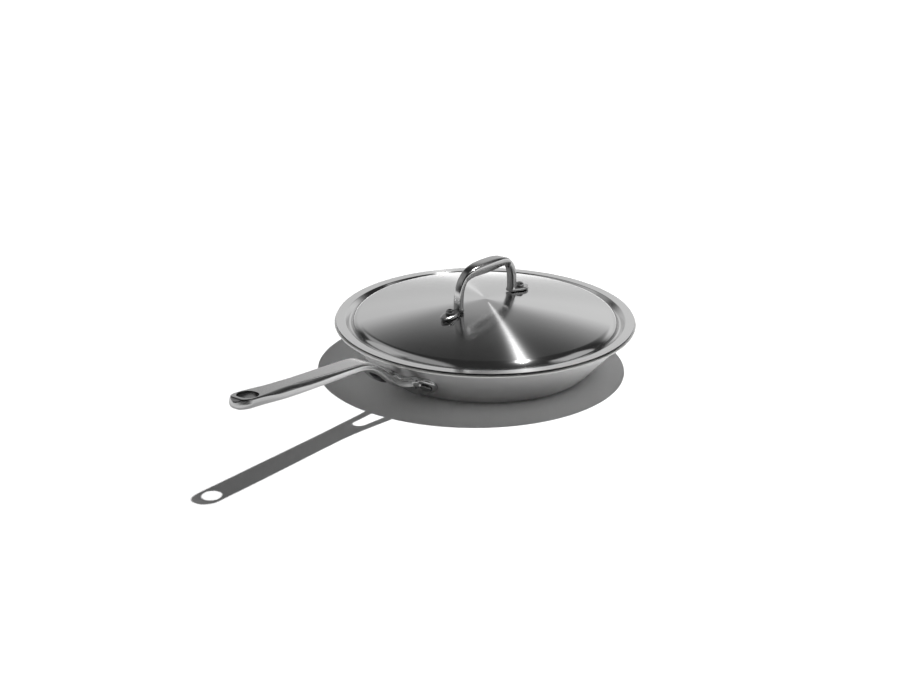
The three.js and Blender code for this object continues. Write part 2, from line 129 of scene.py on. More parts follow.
class HandleSizes(bpy.types.PropertyGroup):
    """Sizes of the cast pan handle."""

    reach: length("Reach", "From the rim to the tip", 242.6 * MM)
    tip_height: length("Tip height", "Top face at the tip", 92.8 * MM)
    slope: angle("Grip slope", "Rise of the grip", 6.2)
    width: length("Grip width", "Over the two sides", 26.6 * MM)
    thickness: length("Grip thickness", "Top face to underside", 11 * MM)
    tip_rounding: length("Tip rounding", "Length of the round end in plan", 14 * MM)
    tip_round: length("Tip edge rounding", "Rounding of the tip's top edge, along the top face", 4.5 * MM)
    tip_fall: length("Tip fall", "The same rounding down the tip", 5 * MM)
    nose_rounding: length("Nose rounding", "Rounding of the tip's lower edge", 4 * MM)
    grip_round: length("Grip rounding", "Rounding from the grip's top face to its sides", 5.5 * MM)
    hole_round: length("Hole side rounding", "The same rounding beside the hole", 1.7 * MM)
    hole_fade: length("Hole fade", "Length from the hole's middle in which rounding and draft grow", 44 * MM)
    neck_round: length("Neck rounding", "The same rounding at the neck and legs", 1.8 * MM)
    side_draft: angle("Side draft", "Lean of the sides, which widen downwards", 12)
    side_depth: share("Side depth", "How far down the widest place is, as a share of the thickness", 0.78)
    tip_side_depth: share("Side depth at the tip", "The same share at the tip and beside the hole", 0.5)
    lip_height: length("Lip height", "Upright edge of the raised top face near the neck", 0.8 * MM)
    lip_round: length("Lip rounding", "Rounding of that edge", 0.4 * MM)
    neck_reach: length("Neck reach", "From the rim to the start of the S-bend", 68.5 * MM)
    neck_width: length("Neck width", "Narrowest width", 25.2 * MM)
    neck_thickness: length("Neck thickness", "Thickness of neck and legs", 8 * MM)
    crest_pull: length("Crest pull", "How far the grip's line runs into the bend", 46 * MM)
    foot_pull: length("Foot pull", "How far the foot's line runs into the bend", 36 * MM)
    foot_slope: angle("Foot slope", "Rise of the legs where they leave the flange", 10)
    foot_width: length("Foot width", "Over the two legs at the flange", 38 * MM)
    foot_fillet: length("Foot fillet", "Fillet between each leg and the flange", 4 * MM)
    foot_above: length("Foot above flange", "Top of the legs above the flange's edge", 1.0 * MM)
    hole_length: length("Hole length", "Hanging hole along the handle", 24 * MM)
    hole_width: length("Hole width", "Hanging hole across the handle", 19.6 * MM)
    hole_end_wall: length("Hole end wall", "Metal between the hole and the tip", 7.5 * MM)
    window_reach: length("Window reach", "From the rim to the window's round end", 30 * MM)
    window_neck: length("Window width at the neck", "Across the round end", 13.4 * MM)
    window_foot: length("Window width at the foot", "Across the open end", 19 * MM)
    flange_thickness: length("Flange thickness", "Out from the wall", 5 * MM)
    flange_top_gap: length("Flange top gap", "From the top of the straight wall", 11.6 * MM)
    flange_foot_gap: length("Flange foot gap", "From the foot of the straight wall", 6 * MM)
    flange_ear: length("Flange ear", "Height of the round ear above its rivet", 12.6 * MM)
    flange_ear_across: length("Flange ear across", "Width of the ear beyond its rivet", 10.2 * MM)
    flange_foot: length("Flange foot", "Radius of the round foot", 7 * MM)
    flange_round: length("Flange edge rounding", "Rounding of the outer edge", 2.4 * MM)
    flange_dip: length("Flange dip", "Dip of the top edge between the legs", 7 * MM)
    flange_dip_width: length("Flange dip width", "Half width of that dip", 11 * MM)
    rivet_spacing: length("Rivet spacing", "Centre to centre round the wall", 48.8 * MM)
    seat_gap: length("Seat gap", "Gap to the wall", 0.3 * MM)


class RivetSizes(bpy.types.PropertyGroup):
    """Sizes of the rivets through the handle flange and the lid."""

    shank: length("Handle rivet shank", "Diameter", 6.4 * MM)
    inner_head: length("Inner head", "Diameter of the head inside the pan", 14 * MM)
    inner_height: length("Inner head height", "Height of that head", 2.2 * MM)
    outer_head: length("Outer head", "Diameter of the upset end on the flange", 12 * MM)
    outer_height: length("Outer head height", "Height of the upset end", 1.8 * MM)
    lid_shank: length("Lid rivet shank", "Diameter", 5 * MM)
    lid_inner_head: length("Lid inner head", "Diameter of the head under the lid", 12 * MM)
    lid_inner_height: length("Lid inner head height", "Height of that head", 2 * MM)
    lid_head: length("Lid head", "Diameter of the upset end on the foot", 9 * MM)
    lid_height: length("Lid head height", "Height of the upset end", 3.7 * MM)
    dish: length("Dish", "Depth of the hollow in the lid rivets' ends", 0.6 * MM)


class LidSizes(bpy.types.PropertyGroup):
    """Sizes of the spun lid's section."""

    sheet: length("Sheet", "Thickness of the lid", 1 * MM)
    seat_gap: length("Seat gap", "Gap between the flange and the rim", 0.3 * MM)
    flange_inset: length("Flange inset", "From the rim's edge to the flange's edge", 1.3 * MM)
    flange_width: length("Flange width", "Flat part of the flange", 9.4 * MM)
    flange_bend: length("Flange bend", "Bend from flange to groove", 1.2 * MM)
    edge_undercut: length("Edge undercut", "How far the cut edge's lower corner lies back", 2.0 * MM)
    groove_depth: length("Groove depth", "Below the flange's top", 4.4 * MM)
    groove_bend: length("Groove bend", "Radius of the groove's floor", 2 * MM)
    groove_rise: angle("Groove rise", "Slope from the groove to the flange", 44)
    shoulder_rise: length("Shoulder rise", "Dome's edge above the flange's top", 4.1 * MM)
    shoulder_bend: length("Shoulder bend", "Radius of the shoulder", 10 * MM)
    shoulder_drop: angle("Shoulder drop", "Slope of the step into the groove", 68)
    tip_slope: angle("Tip slope", "Slope of the dome at its middle", 3.8)
    edge_slope: angle("Edge slope", "Slope of the dome at its edge", 11.4)
    turn: angle("Turn", "Turn of the lid on the pan", -4.4)


class LoopSizes(bpy.types.PropertyGroup):
    """Sizes of the cast loop on the lid."""

    rivet_spacing: length("Rivet spacing", "Centre to centre", 113 * MM)
    leg_spacing: length("Leg spacing", "Centre to centre at the feet", 87 * MM)
    finger_gap: length("Finger gap", "From the lid's tip to the grip", 32.8 * MM)
    squareness: share("Squareness", "Exponent of the loop's line", 3.6)
    foot_tip: length("Foot tip", "Foot beyond the rivet", 13.3 * MM)
    foot_width: length("Foot width", "Across the foot", 15 * MM)
    foot_thickness: length("Foot thickness", "Thickness of the foot", 4 * MM)
    leg_width: length("Leg width", "Across the loop", 9.2 * MM)
    leg_thickness: length("Leg thickness", "In the loop's plane", 7.4 * MM)
    grip_width: length("Grip width", "Across the grip's middle", 16.5 * MM)
    grip_thickness: length("Grip thickness", "Height of the grip's middle", 10.2 * MM)
    belly: length("Belly", "How far the grip's underside hangs lower in its middle", 2 * MM)
    grip_length: length("Grip length", "Length over which the grip widens", 72 * MM)
    keel: share("Keel", "Share by which the grip narrows to its underside", 0.08)
    edge_squareness: share("Edge squareness", "Exponent of the loop's section", 4.5)


class Finishes(bpy.types.PropertyGroup):
    """Colours of the metals and the floor."""

    lid: colour("Lid steel", "Spun stainless sheet", "#c3c3c3")
    wall: colour("Bowl steel", "Satin stainless sheet", "#cbcbcb")
    core: colour("Core aluminium", "Cut edge of the core", "#c2c2c0")
    # The handle colour at the neck fades to the darker grip colour at the tip: painted shade for light
    # falling off along the grip, not wear.
    handle: colour("Handle steel", "Satin cast stainless at the neck", "#b0b0b0")
    grip: colour("Grip steel", "The same steel at the tip, where hands dull it", "#8c8c8c")
    # The hole colour is painted shade on the wall inside the hanging hole.
    hole: colour("Hole steel", "Raw cast skin inside the hanging hole", "#5a5a5a")
    loop: colour("Loop steel", "Polished cast stainless", "#9a9a9a")
    rivet: colour("Rivet steel", "Polished stainless wire", "#7c7c7c")
    floor: colour("Floor", "Plain pale floor", "#f4f4f4")


class FryingPanSettings(bpy.types.PropertyGroup):
    """Everything about the pan that a user may change."""

    bowl: PointerProperty(type=BowlSizes)
    handle: PointerProperty(type=HandleSizes)
    rivets: PointerProperty(type=RivetSizes)
    lid: PointerProperty(type=LidSizes)
    loop: PointerProperty(type=LoopSizes)
    finishes: PointerProperty(type=Finishes)


# Sections and surfaces

def normal_of(slope):
    """The unit vector square to a line of this slope, down and out, in the (radius, height) plane."""
    return np.array([math.sin(slope), -math.cos(slope)])


def tangent_of(slope):
    """The unit vector along a line of this slope in the (radius, height) plane."""
    return np.array([math.cos(slope), math.sin(slope)])


def arc(centre, radius, start, end, steps):
    """Points centre + radius * (sin a, -cos a) for the slope a from start to end."""
    turn = np.linspace(start, end, steps)
    return np.asarray(centre) + radius * np.column_stack((np.sin(turn), -np.cos(turn)))


def eased(start, end, steps):
    """Values from start to end that crowd towards both ends, as 1 - cos does."""
    return start + (end - start) * (1 - np.cos(np.linspace(0, np.pi, steps))) / 2


def run(start, end, steps):
    """Points on a straight line that crowd towards both ends, without the ends themselves."""
    place = eased(0, 1, steps)[1:-1, None]
    return np.asarray(start) * (1 - place) + np.asarray(end) * place


def signed_power(value, power):
    """The power of a number's size, with its sign kept."""
    return np.sign(value) * np.abs(value) ** power


def ease(value):
    """The smooth step 3 v^2 - 2 v^3 between 0 and 1."""
    value = np.clip(value, 0, 1)
    return value * value * (3 - 2 * value)


def quarter_drop(distance, radius):
    """How far a rounded end falls at a distance from it: r - sqrt(r^2 - (r - d)^2), and 0 beyond r."""
    left = np.clip(radius - distance, 0, radius)
    return radius - np.sqrt(np.maximum(radius ** 2 - left ** 2, 0))


def grid_quads(rows, columns, closed_rows=False):
    """The corners of each cell of a grid whose columns close on themselves, numbered row by row."""
    row = np.arange(rows if closed_rows else rows - 1)[:, None]
    column = np.arange(columns)[None, :]
    row_after = (row + 1) % rows
    column_after = (column + 1) % columns
    corners = [(row, column), (row, column_after), (row_after, column_after), (row_after, column)]
    return np.stack([r * columns + c for r, c in corners], axis=2)


def skin(rings, start=None, end=None, closed_rows=False):
    """A surface over a grid of rings that are each closed on themselves.

    start and end are points that close the first and last ring with a fan, and closed_rows joins
    the last ring to the first. Returns the vertices, the faces and a (row, column) UV per corner.
    """
    rows, columns = rings.shape[:2]
    vertices = rings.reshape(-1, 3)
    faces = grid_quads(rows, columns, closed_rows).reshape(-1, 4).tolist()
    row = np.arange(rows if closed_rows else rows - 1)[:, None]
    column = np.arange(columns)[None, :]
    spread = [(row, column), (row, column + 1), (row + 1, column + 1), (row + 1, column)]
    places = [np.stack(np.broadcast_arrays(r / rows, c / columns), axis=2) for r, c in spread]
    uv = np.stack(places, axis=2).reshape(-1, 2)
    around = np.arange(columns)
    around_after = (around + 1) % columns
    for point, first, flip in ((start, 0, True), (end, (rows - 1) * columns, False)):
        if point is None:
            continue
        centre = np.full(columns, len(vertices))
        vertices = np.vstack((vertices, point))
        near, far = first + around, first + around_after
        fan = (centre, far, near) if flip else (centre, near, far)
        faces += np.column_stack(fan).tolist()
        across = (around + 0.5, around + 1, around) if flip else (around + 0.5, around, around + 1)
        level = first / columns / rows
        hub = level - 1 / rows if flip else level + 1 / rows
        fan_uv = np.stack([np.column_stack((np.full(columns, h), a / columns))
                           for h, a in zip((hub, level, level), across)], axis=1)
        uv = np.vstack((uv, fan_uv.reshape(-1, 2)))
    return vertices, faces, uv


def revolve(section, steps):
    """A section of (radius, height) points turned about Z: a closed ring, or with both ends on the axis."""
    turn = np.arange(steps) * 2 * np.pi / steps
    on_axis = (section[[0, -1], 0] < TINY).all()
    rows = section[1:-1] if on_axis else section
    rings = np.stack((
        rows[:, :1] * np.cos(turn),
        rows[:, :1] * np.sin(turn),
        np.broadcast_to(rows[:, 1:], (len(rows), steps)),
    ), axis=2)
    if not on_axis:
        return skin(rings, closed_rows=True)
    return skin(rings, (0, 0, section[0, 1]), (0, 0, section[-1, 1]))


def turned_about_z(vertices, turn):
    """Points turned about Z by an angle."""
    cosine, sine = math.cos(turn), math.sin(turn)
    matrix = np.array([[cosine, -sine, 0], [sine, cosine, 0], [0, 0, 1]])
    return vertices @ matrix.T


def stood_on(vertices, point, direction):
    """Points whose Z axis is laid along a direction at a point."""
    turn = Vector((0, 0, 1)).rotation_difference(Vector(direction)).to_matrix()
    return vertices @ np.array(turn).T + np.asarray(point)


def smooth(mesh, crease):
    """Shades a mesh smooth but for edges sharper than the crease angle in degrees."""
    mesh.shade_smooth()
    mesh.set_sharp_from_angle(angle=math.radians(crease))


def make_mesh(name, surface, crease=CREASE):
    """A smooth mesh of a surface's vertices, faces and UVs."""
    vertices, faces, uv = surface
    mesh = bpy.data.meshes.new(name)
    mesh.from_pydata(vertices.tolist(), [], faces)
    if uv is not None:
        layer = mesh.uv_layers.new(name=UV_NAME)
        layer.data.foreach_set("uv", uv.astype(np.float32).ravel())
    smooth(mesh, crease)
    mesh.update()
    return mesh


def make_piece(name, mesh, material, body, nodes):
    """Makes the object of a mesh: it rides on a body, replaces CAD nodes and takes a material slot."""
    piece = bpy.data.objects.new(name, mesh)
    bpy.context.scene.collection.objects.link(piece)
    mesh.materials.clear()
    mesh.materials.append(material)
    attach(piece, body)
    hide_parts(*nodes)


# Bowl

# Points along each bend, flat, lip and cut edge of the section, and steps round the axis.
BEND_POINTS = 14
FLAT_POINTS = 12
LIP_POINTS = 6
CUT_POINTS = 8
TURN_STEPS = 256


class BowlSection:
    """Flat base, corner bend, straight wall, lip bend and lip. The wall is the bends' common tangent."""

    def __init__(self, size):
        self.size = size
        self.wall = size.outer_ply + size.core_ply + size.inner_ply + 2 * size.bond_line
        self.lip_under = size.height - self.wall / math.cos(size.lip_slope)
        lip_start = np.array([size.rim_radius, self.lip_under]) - size.lip_flat * tangent_of(size.lip_slope)
        self.lip_centre = lip_start + size.lip_radius * normal_of(size.lip_slope)
        self.corner_centre = np.array([size.base_radius, size.corner_radius])
        line = self.lip_centre - self.corner_centre
        bend = math.asin((size.corner_radius + size.lip_radius) / np.linalg.norm(line))
        self.slope = math.atan2(line[1], line[0]) + bend
        self.foot = self.corner_centre + size.corner_radius * normal_of(self.slope)
        self.top = self.lip_centre - size.lip_radius * normal_of(self.slope)
        self.length = np.linalg.norm(self.top - self.foot)

    def rim_end(self, depth):
        """Where the face at a depth ends: on the rim's upright cut, whose corners are rounded."""
        size = self.size
        under = quarter_drop(depth, size.under_round)
        above = quarter_drop(self.wall - depth, size.top_round)
        back = np.maximum(under, above)
        radius = size.rim_radius - back
        height = self.lip_under + depth / math.cos(size.lip_slope) - back * math.tan(size.lip_slope)
        return np.column_stack((radius, height))

    def face(self, depth):
        """The bowl's face at a depth below its outside, from the axis to the rim."""
        size = self.size
        corner = arc(self.corner_centre, size.corner_radius - depth, 0, self.slope, BEND_POINTS)
        lip = arc(self.lip_centre, -size.lip_radius - depth, self.slope, size.lip_slope, BEND_POINTS)
        end = self.rim_end(np.array([depth]))
        axis = np.array([[0, depth]])
        base = run(axis[0], corner[0], FLAT_POINTS)
        wall = run(corner[-1], lip[0], FLAT_POINTS)
        return np.vstack((axis, base, corner, wall, lip, run(lip[-1], end[0], LIP_POINTS), end))

    def ply(self, start, thickness):
        """The closed section of the layer between two depths."""
        cut = self.rim_end(np.linspace(start, start + thickness, CUT_POINTS)[1:-1])
        return np.vstack((self.face(start), cut, self.face(start + thickness)[::-1]))

    def off_wall(self, x, y, z):
        """How far points lie out from the straight wall's outside face."""
        out = np.hypot(x, y) - self.foot[0]
        up = z - self.foot[1]
        return out * math.sin(self.slope) - up * math.cos(self.slope)

    def on_wall(self, up, out, around):
        """Points on the straight wall: up it, out from its outside face, and round it by an angle."""
        radius = self.foot[0] + up * math.cos(self.slope) + out * math.sin(self.slope)
        height = self.foot[1] + up * math.sin(self.slope) - out * math.cos(self.slope)
        x, y = radius * np.cos(around), radius * np.sin(around)
        return np.stack(np.broadcast_arrays(x, y, height), axis=-1)


class FRYINGPAN_OT_bowl(bpy.types.Operator):
    """Build the bowl as an outer sheet, an aluminium core and an inner sheet"""

    bl_idname = "frying_pan.bowl"
    bl_label = "Bowl"

    def execute(self, context):
        settings = context.scene.frying_pan
        size = settings.bowl
        section = BowlSection(size)
        steel = satin_stainless_sheet(settings.finishes.wall)
        core = bare_aluminium(settings.finishes.core)
        core_start = size.outer_ply + size.bond_line
        inner_start = core_start + size.core_ply + size.bond_line
        layers = (
            ("bowl_outer_sheet", 0, size.outer_ply, steel, "pan_outer_ply", "outer_steel"),
            ("bowl_core", core_start, size.core_ply, core, "pan_core", "core_aluminium"),
            ("bowl_inner_sheet", inner_start, size.inner_ply, steel, "pan_inner_ply", "inner_steel"),
        )
        for name, start, thickness, material, node, slot in layers:
            mesh = make_mesh(name, revolve(section.ply(start, thickness), TURN_STEPS))
            make_piece(name, mesh, material, "pan", [node])
        return {"FINISHED"}


# Handle

# Rows along the round tip, the hanging hole, the grip, the neck, the window's round end, the legs and
# the stretch inside the wall.
TIP_ROWS = 22
HOLE_ROWS = 41
GRIP_ROWS = 40
NECK_ROWS = 26
CROTCH_ROWS = 14
LEG_ROWS = 30
INSIDE_ROWS = 6
# The first row's turn, just behind the very tip, how far the legs run on into the wall, the digits by
# which equal rows are told, and the samples of the bend's line.
FIRST_TIP_TURN = 0.05
FOOT_INSIDE = 14 * MM
ROW_DIGITS = 7
BEND_SAMPLES = 400
# Columns round half of the section: inner wall, rounded edges, top, lip, shoulder, side and underside.
INNER_WALL = 7
EDGE_COLUMNS = 5
TOP_COLUMNS = 9
LIP_COLUMNS = 3
SHOULDER_COLUMNS = 9
SIDE_COLUMNS = 4
UNDER_COLUMNS = 18
# Where the grip narrows and its raised top starts, as shares of the way from the tip to the neck.
NARROWING_START = 0.35
LIP_START = 0.4
LIP_GROWTH = 0.25
# Power of the underside's ellipse at the grip, and how much boxier it is at the neck.
GRIP_POWER = 0.66
NECK_BOXIER = 0.3
# Rounding round the hole and window, and the opening at which it is full.
INNER_ROUND = 0.8 * MM
INNER_ROUND_FULL = 3 * MM
# Largest shares of the metal's width or depth that the roundings and the draft may take.
SMALL_ROUND_SHARE = 0.2
ROUND_WIDTH_SHARE = 0.5
ROUND_DEPTH_SHARE = 0.45
DRAFT_SHARE = 0.25
HANDLE_CREASE = 35


class HandleLine:
    """The line of the handle's top face in the plane y = 0: straight grip, then a falling S-bend."""

    def __init__(self, size, section):
        self.size = size
        self.section = section
        self.tip = np.array([section.size.rim_radius + size.reach, size.tip_height])
        self.grip_length = (size.reach - size.neck_reach) / math.cos(size.slope)
        grip = tangent_of(size.slope)
        self.neck = self.tip - self.grip_length * grip
        self.hole_middle = size.hole_end_wall + size.hole_length / 2
        self.window_end = section.size.rim_radius + size.window_reach
        self.window_middle = self.window_end - size.window_neck / 2
        foot_up = section.length - size.flange_top_gap + size.foot_above
        self.foot = section.on_wall(foot_up, size.flange_thickness, 0.0)[[0, 2]]
        foot = tangent_of(size.foot_slope)
        self.bend = np.array([self.neck, self.neck - size.crest_pull * grip,
                              self.foot + size.foot_pull * foot, self.foot])

    def bend_at(self, place):
        """Point and unit direction towards the tip on the bend's cubic curve, for places from 0 to 1."""
        place = np.asarray(place)[:, None]
        rest = 1 - place
        a, b, c, d = self.bend
        point = rest ** 3 * a + 3 * rest ** 2 * place * b + 3 * rest * place ** 2 * c + place ** 3 * d
        ahead = rest ** 2 * (b - a) + 2 * rest * place * (c - b) + place ** 2 * (d - c)
        return point, -ahead / np.linalg.norm(ahead, axis=1, keepdims=True)

    def rows(self):
        """Points, directions and distances back from the tip of all rows, from the tip into the wall."""
        size = self.size
        tip_rows = size.tip_rounding * (1 - np.cos(np.linspace(FIRST_TIP_TURN, np.pi / 2, TIP_ROWS)))
        hole_rows = self.hole_middle - size.hole_length / 2 * np.cos(np.linspace(0, np.pi, HOLE_ROWS))
        grip_rows = np.linspace(hole_rows[-1], self.grip_length, GRIP_ROWS)
        back = np.unique(np.round(np.concatenate((tip_rows, hole_rows, grip_rows)), ROW_DIGITS))
        grip = tangent_of(size.slope)
        points = [self.tip - back[:, None] * grip]
        ahead = [np.broadcast_to(grip, (len(back), 2))]
        place = np.linspace(0, 1, BEND_SAMPLES)
        line = self.bend_at(place)[0]
        neck = np.linspace(self.neck[0], self.window_end, NECK_ROWS)
        crotch = self.window_middle + size.window_neck / 2 * np.cos(np.linspace(0, np.pi / 2, CROTCH_ROWS))
        legs = np.linspace(self.window_middle, self.foot[0], LEG_ROWS)
        reach = np.concatenate((neck[1:], crotch[1:], legs[1:]))
        at = np.interp(reach, line[::-1, 0], place[::-1])
        bend_points, bend_ahead = self.bend_at(at)
        foot = tangent_of(size.foot_slope)
        inside = np.linspace(0, FOOT_INSIDE, INSIDE_ROWS)[1:, None]
        points += [bend_points, self.foot - inside * foot]
        ahead += [bend_ahead, np.broadcast_to(foot, (len(inside), 2))]
        points = np.vstack(points)
        steps = np.linalg.norm(np.diff(points, axis=0), axis=1)
        return points, np.vstack(ahead), back[0] + np.concatenate(([0], np.cumsum(steps)))


def handle_half(line):
    """One half of the handle as a grid: rows along its line, columns round half of its section.

    A column is (across, down) from the top line. The section goes up the inner wall of a window or
    hole, over the flat top, down a low upright lip, round as part of an ellipse, down a drafted side to
    the widest place, and along the underside as a quarter of a squared-off ellipse, cut where the inner
    wall stands. Near the flange it swells outwards and downwards as a fillet, a quarter circle of the
    distance off the flange's face. Returns the grid, and for each row whether it has an inner wall.
    """
    size = line.size
    points, ahead, back = line.rows()
    neck_back = line.grip_length
    reach = points[:, 0]
    past_neck = back > neck_back
    foot_share = np.clip((line.neck[0] - reach) / (line.neck[0] - line.foot[0]), 0, 1)
    end = np.clip(1 - back / size.tip_rounding, 0, 1)
    to_neck = ease((back - NARROWING_START * neck_back) / ((1 - NARROWING_START) * neck_back))
    grip_half = size.width / 2 * (1 - to_neck) + size.neck_width / 2 * to_neck
    legs = (size.foot_width - size.neck_width) / 2 * foot_share ** 2
    half = grip_half * np.sqrt(1 - end ** 2) + legs
    thickness = size.thickness * (1 - to_neck) + size.neck_thickness * to_neck
    past_hole = ease((back - line.hole_middle) / size.hole_fade)
    near_tip = (size.hole_round - size.grip_round) * (1 - past_hole)
    rounding = size.grip_round * (1 - to_neck) + size.neck_round * to_neck + near_tip
    top = quarter_drop(back, size.tip_round) * size.tip_fall / size.tip_round
    deep = thickness - quarter_drop(back, size.nose_rounding) - top

    along_hole = (back - line.hole_middle) / (size.hole_length / 2)
    hole = size.hole_width / 2 * np.sqrt(np.clip(1 - along_hole ** 2, 0, 1))
    window_round = size.window_neck / 2
    window_middle = line.window_middle
    crotch = np.sqrt(np.clip(1 - (np.clip(reach - window_middle, 0, None) / window_round) ** 2, 0, 1))
    spread = np.clip((window_middle - reach) / (window_middle - line.foot[0]), 0, None)
    window = window_round * crotch + (size.window_foot / 2 - window_round) * spread
    gap = np.where(past_neck, window, hole)
    gap[gap < TINY] = 0

    solid = half - gap
    inner_round = np.minimum(INNER_ROUND, SMALL_ROUND_SHARE * solid) * np.clip(gap / INNER_ROUND_FULL, 0, 1)
    over = np.minimum(rounding, ROUND_WIDTH_SHARE * solid)
    fall = np.minimum(rounding, ROUND_DEPTH_SHARE * deep)
    lip_share = ease((back / neck_back - LIP_START) / LIP_GROWTH)
    lip_round = np.minimum(size.lip_round, SMALL_ROUND_SHARE * solid) * lip_share
    lip = lip_round + size.lip_height * lip_share
    boxy = GRIP_POWER - NECK_BOXIER * to_neck
    draft = math.tan(size.side_draft)
    side_turn = np.arctan(over / (fall * draft))
    side_start = lip + fall * (1 - np.cos(side_turn))
    side_share = size.tip_side_depth + (size.side_depth - size.tip_side_depth) * past_hole
    side = np.maximum(side_share * deep, side_start)
    lean = np.minimum((side - side_start) * draft, DRAFT_SHARE * solid)
    edge = half - lean - over * np.sin(side_turn)

    def column(across, down):
        """One column of (across, down) points, below the rounded top of the tip."""
        return np.stack(np.broadcast_arrays(across, top + down), axis=1)

    last_turn = np.arccos(np.clip(gap / half, 0, 1) ** (1 / boxy))
    gap_deep = side + (deep - side) * np.sin(last_turn) ** boxy
    columns = []
    for place in np.linspace(1, 0, INNER_WALL):
        columns.append(column(gap, inner_round + place * (gap_deep - inner_round)))
    for turn in np.linspace(0, np.pi / 2, EDGE_COLUMNS)[1:]:
        columns.append(column(gap + inner_round * (1 - np.cos(turn)), inner_round * (1 - np.sin(turn))))
    for place in eased(0, 1, TOP_COLUMNS)[1:]:
        flat_start, flat_end = gap + inner_round, edge - lip_round
        columns.append(column(flat_start + (flat_end - flat_start) * place, 0))
    for turn in np.linspace(0, np.pi / 2, EDGE_COLUMNS)[1:]:
        columns.append(column(edge - lip_round * (1 - np.sin(turn)), lip_round * (1 - np.cos(turn))))
    for place in np.linspace(0, 1, LIP_COLUMNS)[1:]:
        columns.append(column(edge, lip_round + (lip - lip_round) * place))
    for place in np.linspace(0, 1, SHOULDER_COLUMNS)[1:]:
        turn = place * side_turn
        columns.append(column(edge + over * np.sin(turn), lip + fall * (1 - np.cos(turn))))
    for place in np.linspace(0, 1, SIDE_COLUMNS)[1:]:
        columns.append(column(half - lean * (1 - place), side_start + (side - side_start) * place))
    for place in np.linspace(0, 1, UNDER_COLUMNS)[1:-1]:
        turn = place * last_turn
        columns.append(column(half * np.cos(turn) ** boxy, side + (deep - side) * np.sin(turn) ** boxy))
    grid = np.stack(columns, axis=1)
    down = np.column_stack((ahead[:, 1], -ahead[:, 0]))
    place = points[:, None, :] + grid[:, :, 1:] * down[:, None, :]
    off_flange = line.section.off_wall(place[:, :, 0], grid[:, :, 0], place[:, :, 1]) - size.flange_thickness
    fillet = quarter_drop(np.clip(off_flange, 0, None), size.foot_fillet)
    outer = np.clip((grid[:, :, 0] - gap[:, None]) / np.maximum(solid, TINY)[:, None], 0, 1) ** 2
    lower = np.clip(grid[:, :, 1] / np.maximum(deep, TINY)[:, None], 0, 1) ** 2
    place = place + (fillet * lower)[:, :, None] * down[:, None, :]
    return np.stack((place[:, :, 0], grid[:, :, 0] + fillet * outer, place[:, :, 1]), axis=2), gap > 0


def handle_body(line):
    """Both halves of the handle, joined along the middle plane where there is no window or hole."""
    grid, open_rows = handle_half(line)
    rows, columns = grid.shape[:2]
    open_span = open_rows[:-1] | open_rows[1:]
    wall_column = np.arange(columns) < INNER_WALL - 1
    left = grid_quads(rows, columns)[open_span[:, None] | ~wall_column[None, :]]
    points = grid.reshape(-1, 3)
    right = left[:, ::-1] + len(points)
    vertices = np.vstack((points, points * (1, -1, 1)))
    last = (rows - 1) * columns + np.arange(columns)
    caps = [last.tolist(), (last[::-1] + len(points)).tolist()]
    half_ring = np.arange(INNER_WALL - 1, columns)
    tip = np.concatenate(([0], half_ring[::-1], half_ring[1:] + len(points)))
    faces = left.tolist() + right.tolist() + caps + [tip.tolist()]
    return vertices, faces, None


# Points of the flange's outline: round foot, side, ear and half of the top edge; then its rounded edge.
FOOT_POINTS = 16
SIDE_POINTS = 12
EAR_POINTS = 40
DIP_POINTS = 24
ROUND_POINTS = 9
# Rings that lead to the middle of the plate's back and front, as shares of the outline.
BACK_RINGS = (0.1, 0.5, 1)
FRONT_RINGS = (0.8, 0.6, 0.4, 0.2, 0.06)


def ear_height(size, section):
    """How far up the straight wall the flange's ears and its rivets have their centres."""
    return section.length - size.flange_top_gap - size.flange_ear


def flange_radius(size, section):
    """How far up the wall the flange's middle lies, and the wall's radius there, which its widths use."""
    middle = (size.flange_foot_gap + section.length - size.flange_top_gap) / 2
    return middle, section.foot[0] + middle * math.cos(section.slope)


def flange_outline(size, section, inset):
    """The flange's outline as (across, up) points, drawn in by an inset.

    It is a round foot, lines up to the ears, an oval ear about each rivet, and a top edge that dips
    between the legs by d exp(-(across / w)^2).
    """
    ear = np.array([size.rivet_spacing / 2, ear_height(size, section)])
    foot = np.array([0, size.flange_foot_gap + size.flange_foot])
    ear_radius, foot_radius = size.flange_ear - inset, size.flange_foot - inset
    ear_across = size.flange_ear_across - inset
    line = foot - ear
    lean = math.acos((ear_radius - foot_radius) / np.linalg.norm(line))
    side = math.atan2(line[1], line[0]) + lean
    foot_turn = np.linspace(-np.pi / 2, side, FOOT_POINTS)[:, None]
    ear_turn = np.linspace(side, np.pi / 2, EAR_POINTS)[:, None]
    foot_arc = foot + foot_radius * np.hstack((np.cos(foot_turn), np.sin(foot_turn)))
    ear_arc = ear + np.hstack((ear_across * np.cos(ear_turn), ear_radius * np.sin(ear_turn)))
    across = np.linspace(ear[0], 0, DIP_POINTS)[1:]
    top = ear[1] + ear_radius - size.flange_dip * np.exp(-(across / size.flange_dip_width) ** 2)
    flank = run(foot_arc[-1], ear_arc[0], SIDE_POINTS)
    half = np.vstack((foot_arc, flank, ear_arc, np.column_stack((across, top))))
    return np.vstack((half, half[-2:0:-1] * (-1, 1)))


